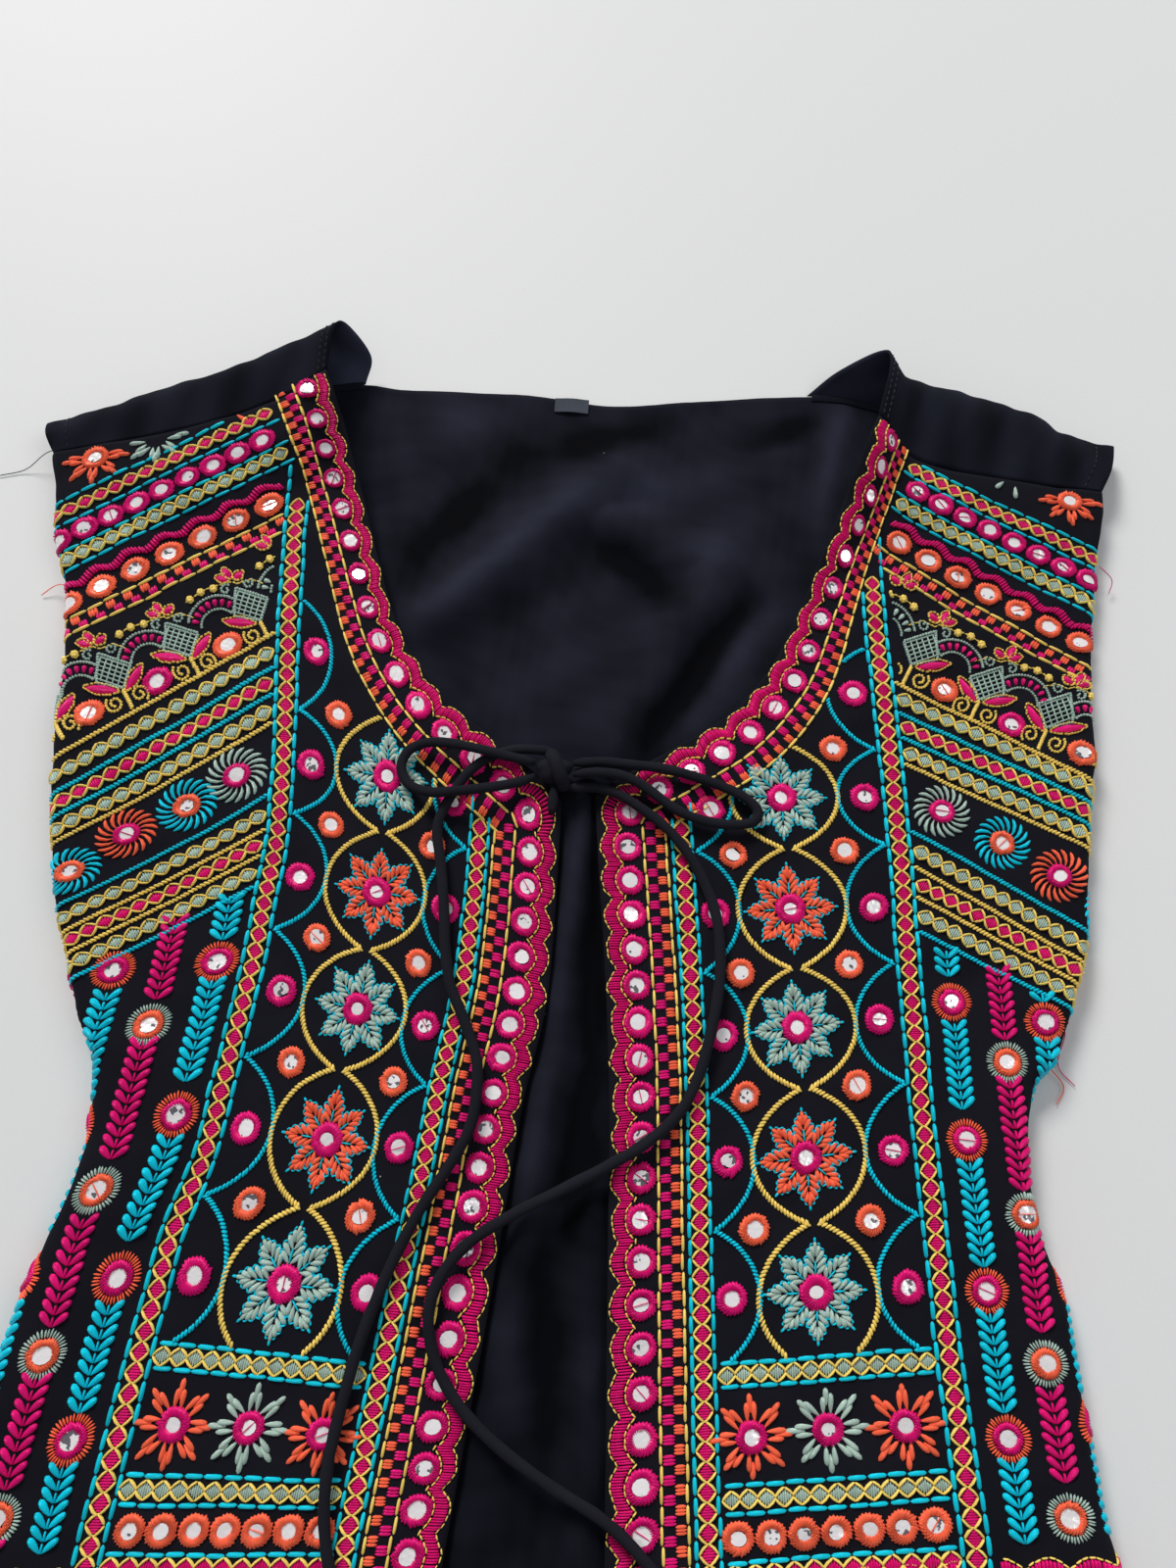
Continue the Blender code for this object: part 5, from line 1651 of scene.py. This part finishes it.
# Side columns of leaves. Columns: u at the top, u at the hem, top v, colour, ring, centre, rosette places
LEAF_COLUMNS = {
    RIGHT: (
        (11.85, 11.95, 6.0, "teal", "orange", "magenta", (4.06, -0.56, -5.16, -9.40, -14.0)),
        (13.60, 13.35, 5.2, "magenta", "grey", "orange", (1.94, -2.90, -7.30, -11.60, -15.9)),
        (15.00, 14.70, 4.2, "teal", "orange", "magenta", (3.30, -0.9, -5.1, -9.10, -13.6)),
        (16.60, 16.10, 3.2, "magenta", "grey", "orange", (1.6, -3.1, -7.4, -11.8, -15.9)),
        (18.20, 17.60, 2.4, "teal", "orange", "magenta", (0.4, -4.4, -8.8, -13.4)),
        (19.70, 19.10, 1.6, "magenta", "grey", "orange", (-2.0, -6.6, -11.0, -15.4)),
    ),
    LEFT: (
        (11.62, 11.90, 6.6, "teal", "orange", "magenta", (4.24, -0.56, -5.10, -9.36, -14.0)),
        (13.25, 13.40, 5.8, "magenta", "grey", "orange", (2.20, -2.74, -7.16, -11.40, -15.9)),
        (14.85, 14.70, 4.9, "teal", "orange", "magenta", (4.10, -0.9, -5.1, -9.10, -13.6)),
        (16.60, 16.10, 3.8, "magenta", "grey", "orange", (1.6, -3.1, -7.4, -11.8, -15.9)),
        (18.20, 17.60, 2.8, "teal", "orange", "magenta", (0.4, -4.4, -8.8, -13.4)),
        (19.70, 19.10, 2.0, "magenta", "grey", "orange", (-2.0, -6.6, -11.0, -15.4)),
    ),
}


def leaf_columns(side):
    for u_top, u_hem, top, colour, rim, middle, places in LEAF_COLUMNS[side]:
        v = np.arange(LEAF_HEM, top, LEAF_PITCH)
        clear = np.min(np.abs(v[:, None] - np.array(places)[None]), axis=1) > 0.72
        v = v[clear]
        u = np.interp(v, (LEAF_HEM, top), (u_hem, u_top))
        root = np.stack([u, v], -1) * CM
        for sign in (-1, 1):
            tip = root + np.array([sign * 0.0042, 0.0034]) + jitter(len(root), 0.00012)
            stitch(side, colour, root + np.array([sign * 0.0003, -0.0005]), tip, 0.0023, 0.0014, form=DROP)
        stitch(side, colour, root - [0, 0.0006], root + [0, 0.0022], 0.0007, 0.0012)
        shown = np.array([place for place in places if place > LEAF_HEM])
        centres = np.stack([np.interp(shown, (LEAF_HEM, top), (u_hem, u_top)), shown], -1) * CM
        rosettes(side, middle, centres, 0.0140, 0.0026, rim)


def hem_border(side):
    """The border along the hem: scallops, rosettes and bricks."""
    for ends in ((3.45, 10.0), (11.2, 21.5)):
        path = level_line(-13.4, *ends)
        lengths = path_lengths(path)
        wanted = np.arange(0, lengths[-1], 0.00105)
        middle = at_lengths(wanted, lengths, path)
        near = np.abs(np.cos(math.pi * wanted / 0.0128))
        low = middle + np.stack([np.zeros(len(near)), 0.0008 + 0.0030 * near], -1)
        satin(side, "magenta", low + [0, 0.0034], low, 0.0013)
        dashes(side, "gold", low + [0, 0.0038], 0.0021, 0.0006, 0.0008)
        dashes(side, "gold", low - [0, 0.0004], 0.0021, 0.0006, 0.0008)
        rosettes(side, "magenta", spaced(level_line(-14.1, *ends), 0.0128)[0], 0.0106, 0.0025)
        dashes(side, "gold", level_line(-14.85, *ends), 0.0056, 0.0008)
        bricks(side, "magenta", level_line(-15.08, *ends), 0.0056, 0.25, (0.0030, 0.0029))
        bricks(side, "orange", level_line(-15.40, *ends), 0.0056, 0.75, (0.0029, 0.0027))
        dashes(side, "gold", level_line(-15.64, *ends), 0.0056, 0.0008)


# The back, the yokes, the label and the ties

# Folds of the back that show in the neck and the gap. Columns: start x and y, end x and y, width, height
CREASES = (
    (-0.063, 0.182, -0.011, 0.229, 0.0075, 0.0013), (-0.011, 0.229, 0.045, 0.246, 0.0095, 0.0012),
    (-0.074, 0.202, -0.030, 0.255, 0.0085, -0.0011), (-0.030, 0.255, 0.030, 0.270, 0.0080, -0.0010),
    (-0.004, 0.223, 0.033, 0.194, 0.0070, -0.0012), (0.049, 0.225, 0.048, 0.200, 0.0100, 0.0009),
    (0.061, 0.194, 0.018, 0.132, 0.0060, -0.0015), (0.069, 0.189, 0.042, 0.147, 0.0055, 0.0010),
    (-0.064, 0.274, -0.038, 0.271, 0.0110, 0.0008), (0.066, 0.262, 0.090, 0.271, 0.0060, -0.0010),
    (0.102, 0.280, 0.090, 0.225, 0.0050, 0.0014), (-0.050, 0.170, -0.006, 0.208, 0.0070, -0.0004),
    (-0.030, 0.147, 0.001, 0.183, 0.0100, 0.0004), (-0.002, 0.109, -0.011, 0.043, 0.0040, 0.0010),
    (-0.011, 0.043, -0.021, -0.030, 0.0050, 0.0009), (0.003, 0.100, -0.000, 0.014, 0.0035, -0.0010),
    (-0.000, 0.014, -0.007, -0.032, 0.0050, -0.0009), (-0.024, -0.047, -0.027, -0.096, 0.0050, 0.0006),
    (-0.014, -0.039, -0.013, -0.103, 0.0050, -0.0006), (-0.000, -0.056, 0.002, -0.103, 0.0045, 0.0006),
)
BACK_COLUMNS = 170
BACK_LINES = 150
BACK_FAN = 44
BACK_FAN_Y = 0.204


def crease_height(x, y):
    """Height of the creases and wrinkles of the back over its soft folds."""
    height = np.zeros_like(x)
    for *ends, width, top in CREASES:
        along, away = near_line(x, y, *ends)
        height = height + top * np.exp(-(away / width) ** 2) * (0.4 + 0.6 * np.sin(math.pi * along))
    ripple = 0.00012 * np.sin(210 * x + 90 * y) + 0.0001 * np.sin(-130 * x + 260 * y + 1.0)
    wrinkle = np.sin(430 * x + 270 * y + 3 * np.sin(95 * x - 60 * y))
    wrinkle = wrinkle * np.sin(330 * y - 160 * x + 2 * np.sin(120 * x))
    return height + ripple + 0.00011 * wrinkle


def make_back_cloth(name):
    fan = np.concatenate([np.zeros(BACK_LINES), np.linspace(0, 1, BACK_FAN + 1)[1:]])
    y = np.concatenate([np.linspace(-0.168, BACK_FAN_Y, BACK_LINES), np.full(BACK_FAN, BACK_FAN_Y)])
    tip_left = y + fan * (BACK_TOP[0][1] - BACK_FAN_Y)
    tip_right = y + fan * (BACK_TOP[-1][1] - BACK_FAN_Y)
    far_left = -(read(SILHOUETTE[LEFT], 1, tip_left) - read(BACK_INSET, 1, tip_left))
    far_right = read(SILHOUETTE[RIGHT], 1, tip_right) - read(BACK_INSET, 1, tip_right)
    far_left = blend(far_left, BACK_TOP[0][0], ease(0.5, 1.0, fan))
    far_right = blend(far_right, BACK_TOP[-1][0], ease(0.5, 1.0, fan))
    share = np.linspace(0, 1, BACK_COLUMNS)
    x = far_left[:, None] + (far_right - far_left)[:, None] * share
    rise = read(BACK_TOP, 1, x) - BACK_FAN_Y
    y = np.where(fan[:, None] > 0, BACK_FAN_Y + fan[:, None] * rise, y[:, None])
    top = back_height(x, y)
    crease = crease_height(x, y)
    height = np.maximum(top - CLOTH / 2 - 0.0001 + crease, CLOTH / 2 + 0.00005)
    points = np.stack([x, y, height], -1).reshape(-1, 3)
    # Painted light and shade: the colour is lighter on the ridges of the creases and wrinkles and darker in
    # their valleys, and darker low down where the back shows only in the narrow gap between the fronts.
    painted_light_and_shade = np.clip(1 + 1000 * crease - 0.45 * (1 - ease(0.09, 0.14, y)), 0.20, 2.3).ravel()
    piece = build_mesh(name, points, grid_faces(len(fan), BACK_COLUMNS), BLACK_BACK, shade=painted_light_and_shade)
    thicken(piece, CLOTH)
    return piece


SEAM_STEPS = 60


def make_back_seam(name, side):
    """The strip of cloth that joins a yoke's far edge to the top of the back."""
    along = np.linspace(0.01, 0.995, SEAM_STEPS)
    far = yoke_points(side, np.full(SEAM_STEPS, 0.985), along)
    x = np.clip(far[:, 0], BACK_TOP[0][0] + 0.0005, BACK_TOP[-1][0] - 0.0005)
    y = read(BACK_TOP, 1, x) - 0.0022
    top = back_height(x, y)
    near = np.stack([x, y, top + crease_height(x, y) - CLOTH * 0.35], -1)
    share = np.linspace(0, 1, 7)[:, None, None]
    belly = np.sin(math.pi * share) * np.array([0, 0.0004, 0.0006])
    points = (near + (far - near) * share + belly).reshape(-1, 3)
    piece = build_mesh(name, points, grid_faces(7, SEAM_STEPS), BLACK_BACK)
    thicken(piece, 0.0008)
    return piece


YOKE_ACROSS = 44
YOKE_ALONG = 84


def yoke_waves(side, across, along):
    """Long and short waves of a yoke's cloth, from -1 to 1."""
    return np.sin(along * 17 + across * 5 + side), np.sin(along * 37 - across * 9)


def yoke_points(side, across, along):
    """The yoke's cloth with its soft dents, in the table frame."""
    points = shoulder_point(side, across.ravel(), along.ravel()).reshape(across.shape + (3,))
    long_wave, short_wave = yoke_waves(side, across, along)
    dent = 0.0005 * long_wave + 0.0004 * short_wave + 0.0002 * np.sin(along * 71 + across * 13)
    points[..., 2] += dent * np.sin(math.pi * np.clip(across, 0, 1)) * 0.9
    return points


def make_yoke(name, side):
    grid = (np.linspace(0, 1, YOKE_ACROSS), np.linspace(0, 1, YOKE_ALONG))
    across, along = np.meshgrid(*grid, indexing="ij")
    points = yoke_points(side, across, along).reshape(-1, 3)
    long_wave, short_wave = yoke_waves(side, across, along)
    # Painted light and shade: the tone rises and falls with the same long and short waves as the dents, and
    # the underside of the loop near the neck, the collar flap, is painted several times lighter, more on the
    # left.
    inside = ease(0.35, 0.60, across) * ease(0.5, 0.8, along)
    painted_light_and_shade = (1 + (0.30 * long_wave + 0.24 * short_wave)) * (1 + (3.6 if side == LEFT else 1.9) * inside)
    piece = build_mesh(name, points, grid_faces(YOKE_ACROSS, YOKE_ALONG), BLACK_YOKE, shade=painted_light_and_shade.ravel())
    thicken(piece, 0.0010)
    return piece


def run_stitches(name, line_points, normals, length=0.0019, gap=0.0009, width=0.00045):
    """Small machine stitches along a line in space, as one mesh."""
    lengths = path_lengths_in_space(line_points)
    starts = np.arange(0, lengths[-1] - length, length + gap)
    made = Heap()
    along, across, rise, faces = SHORT
    a = at_lengths(starts, lengths, line_points)
    b = at_lengths(starts + length, lengths, line_points)
    normal = at_lengths(starts + length / 2, lengths, normals)
    out = unit(np.cross(normal, b - a))
    points = a[:, None] + (b - a)[:, None] * along[None, :, None]
    points = points + out[:, None] * (across * width / 2)[None, :, None]
    points = points + normal[:, None] * (rise * width * 0.7)[None, :, None]
    flat = np.stack(np.broadcast_arrays(along * length, across * width), -1)[None]
    made.add(points, faces, flat, np.full(len(a), 1.9))
    return made.build(name, FINISH["black"])


def yoke_lines(name, side):
    """Machine stitching on a yoke: one line in from the armhole and two beside the neck edge."""
    made = []
    across = np.linspace(0.02, 0.48, 60)
    for i, at in enumerate((0.075, 0.965, 0.985)):
        along = np.full(60, at)
        points = yoke_points(side, across, along)
        ahead = yoke_points(side, across + 0.01, along)
        over = yoke_points(side, across, along + 0.01 * (1 if at < 0.5 else -1))
        normal = unit(np.cross(ahead - points, over - points))
        normal = np.where(normal[:, 2:] < 0, -normal, normal)
        made.append(run_stitches(f"{name}_{i}", points + normal * 0.00055, normal))
    return made


def route(stops, step):
    """Points about a step apart on a smooth curve through the stops."""
    stops = np.array(stops)
    guide = np.concatenate([2 * stops[:1] - stops[1:2], stops, 2 * stops[-1:] - stops[-2:-1]])
    fine = []
    t = np.linspace(0, 1, 24, endpoint=False)[:, None]
    for stretch in zip(guide, guide[1:], guide[2:], guide[3:]):
        fine.append(curve_between(*stretch, t))
    fine.append(stops[-1:])
    fine = np.concatenate(fine)
    lengths = path_lengths_in_space(fine)
    wanted = np.linspace(0, lengths[-1], max(3, round(lengths[-1] / step) + 1))
    return at_lengths(wanted, lengths, fine), lengths[-1]


def make_tube(name, points, radius, material, sides=12, rough=0.07, pinch=0.6):
    """A turned tube of cloth along points, a little flattened, puckered and pinched at its ends."""
    count = len(points)
    run = unit(np.gradient(points, axis=0))
    flat = unit(np.cross(np.array([0, 0, 1.0]), run))
    up = np.cross(run, flat)
    turn = np.arange(sides) * 2 * math.pi / sides
    station = np.arange(count)
    broad = np.sin(station * 0.9 + 1.3 * np.sin(station * 0.23))[:, None] * np.cos(turn * 2 + 0.4)
    fine = 0.6 * np.sin(station * 1.7)[:, None] * np.cos(turn * 3 + station[:, None] * 0.15)
    pucker = 1 + rough * (broad + fine) / 1.6
    end = np.minimum(station, count - 1 - station)
    taper = pinch + (1 - pinch) * np.clip(end / 2.0, 0, 1)
    size = radius * taper[:, None] * pucker
    ring = points[:, None] + flat[:, None] * (np.cos(turn) * size * 1.05)[..., None] \
        + up[:, None] * (np.sin(turn) * size * 0.93)[..., None]
    first, last = (ring[k].mean(0) + (ring[k] - ring[k].mean(0)) * 0.05 for k in (0, -1))
    ring = np.concatenate([first[None], ring, last[None]])
    return build_mesh(name, ring.reshape(-1, 3), grid_faces(count + 2, sides, wrap=True), material)


def make_knot_wrap(name):
    """The bow's knot: a plump core with one strand wrapped over it."""
    turn = np.linspace(0, 2 * math.pi, 33)[:-1]
    rise = np.linspace(-1, 1, 17)
    centre = np.array(KNOT_PLACE)
    half = np.array(KNOT_HALF)
    level = np.sqrt(np.clip(1 - rise ** 2, 0, 1))[:, None]
    fold = 1 + 0.07 * np.sin(3 * turn + 0.6)[None, :] + 0.05 * np.sin(5 * turn)[None, :] * level
    x = centre[0] + half[0] * level * np.cos(turn) * fold
    y = centre[1] + half[1] * level * np.sin(turn) * fold
    z = centre[2] + half[2] * rise[:, None] * np.full(32, 0.92)
    points = np.stack([x, y, z], -1).reshape(-1, 3)
    core = build_mesh(name, points, grid_faces(17, 32, wrap=True), BLACK_TIE)
    bend = np.linspace(-0.25, math.pi + 0.25, 26)
    wrap = np.stack([
        centre[0] + 0.0012 - 0.0022 * np.cos(bend), centre[1] + 0.0058 * np.cos(bend),
        centre[2] - 0.0008 + 0.0052 * np.sin(bend),
    ], -1)
    strand = make_tube(name + "_wrap", wrap, 0.0023, BLACK_TIE, rough=0.05)
    return [core, strand]


def make_label(name):
    """The blank woven label: a thin bevelled box with a slight wave."""
    shape = bmesh.new()
    bmesh.ops.create_cube(shape, size=1.0)
    bmesh.ops.scale(shape, vec=LABEL_SIZE, verts=shape.verts)
    long_edges = [edge for edge in shape.edges if abs(edge.verts[0].co.x - edge.verts[1].co.x) > 0.001]
    bmesh.ops.subdivide_edges(shape, edges=long_edges, cuts=12, use_grid_fill=True)
    bmesh.ops.bevel(shape, geom=list(shape.edges), offset=0.00008, segments=1, affect="EDGES")
    for vertex in shape.verts:
        vertex.co.z += 0.0003 * math.cos(vertex.co.x * 420) - 0.0001
    mesh = bpy.data.meshes.new(name)
    place = np.array([LABEL_PLACE])
    top = float(back_height(place[:, 0], place[:, 1])[0])
    bmesh.ops.rotate(shape, cent=(0, 0, 0), matrix=Matrix.Rotation(LABEL_TURN, 3, "Z"), verts=shape.verts)
    middle = Vector((*LABEL_PLACE, top + GAP + LABEL_SIZE[2] / 2)) + Vector(SHIFT)
    bmesh.ops.translate(shape, vec=middle, verts=shape.verts)
    shape.to_mesh(mesh)
    shape.free()
    write_shade(mesh, np.ones(len(mesh.vertices)))
    mesh.materials.append(LABEL)
    return link(bpy.data.objects.new(name, mesh))


# Loose thread ends. Columns: colour, thickness, stops in the table frame
LOOSE_ENDS = (
    ("black", 0.00035, ((-0.2000, 0.2555, 0.0090), (-0.2110, 0.2545, 0.0060), (-0.2210, 0.2500, 0.0012),
                        (-0.2320, 0.2475, 0.0006))),
    ("orange", 0.00040, ((-0.1960, 0.1975, 0.0070), (-0.2020, 0.1990, 0.0030), (-0.2080, 0.1960, 0.0008))),
    ("orange", 0.00040, ((0.1460, 0.0250, 0.0080), (0.1545, 0.0215, 0.0030), (0.1600, 0.0150, 0.0010),
                         (0.1570, 0.0090, 0.0008))),
    ("magenta", 0.00035, ((0.1500, 0.0320, 0.0085), (0.1580, 0.0400, 0.0040), (0.1625, 0.0330, 0.0012),
                          (0.1590, 0.0220, 0.0008), (0.1640, 0.0150, 0.0008))),
    ("magenta", 0.00035, ((0.1930, 0.2050, 0.0070), (0.1985, 0.2010, 0.0040), (0.1975, 0.1960, 0.0020))),
)


# Putting it together

def make_vest():
    riders = []
    shells = {}
    for side, word in WORDS.items():
        shells[side] = make_front_cloth(f"front_cloth_{word}", side)
        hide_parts(f"front_{word}")
        edge_band(side)
        inner_column(side)
        outer_column(side)
        field(side)
        shoulder_bands(side)
        pinwheels(side)
        leaf_columns(side)
        hem_border(side)
    worked = {LEFT: [], RIGHT: []}
    for (side, colour), collected in heaps.items():
        kind = "mirrors" if colour == "mirror" else f"embroidery_{colour}"
        piece = collected.build(f"{kind}_{WORDS[side]}", FINISH[colour])
        worked[side].append(piece)
        riders.append(piece)
    for side, word in WORDS.items():
        yoke = make_yoke(f"yoke_cloth_{word}", side)
        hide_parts(f"shoulder_{word}")
        seams = yoke_lines(f"yoke_stitches_{word}", side)
        seams.append(make_back_seam(f"back_seam_{word}", side))
        riders += [yoke, shells[side], *seams]
    back = make_back_cloth("back_cloth")
    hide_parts("back")
    label = make_label("size_label")
    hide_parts("neck_label")
    riders += [back, label]
    knot = make_knot_wrap("bow_knot")
    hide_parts("tie_knot")
    riders += knot
    ties = {}
    for name, stops in TIE_ROUTES.items():
        points, length = route(stops, 0.0020)
        tube = make_tube(name.replace("tie_", "cord_"), points, TIE_DIAMETER / 2, BLACK_TIE)
        ties[name] = (tube, points + SHIFT, length)
        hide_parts(name)
        riders.append(tube)
    for name, far_end, pieces in (
        ("tie_left_tail", "bare", [ties["tie_left_root"][0], *knot]),
        ("tie_right_tail", "bare", [ties["tie_right_root"][0]]),
        ("tie_left_loop", "object", []),
        ("tie_right_loop", "object", []),
    ):
        tube, points, length = ties[name]
    for i, (colour, thickness, stops) in enumerate(LOOSE_ENDS):
        points, length = route(stops, 0.0008)
        end = make_tube(f"loose_end_{i}", points, thickness / 2, FINISH[colour], sides=5, rough=0.0)
        riders.append(end)
    for piece in riders:
        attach(piece, "root")


def make_table():
    shape = bmesh.new()
    bmesh.ops.create_grid(shape, x_segments=1, y_segments=1, size=3.0)
    mesh = bpy.data.meshes.new("table")
    shape.to_mesh(mesh)
    shape.free()
    mesh.materials.append(table_top("pale_table"))
    table = link(bpy.data.objects.new("table", mesh))


make_table()
make_vest()
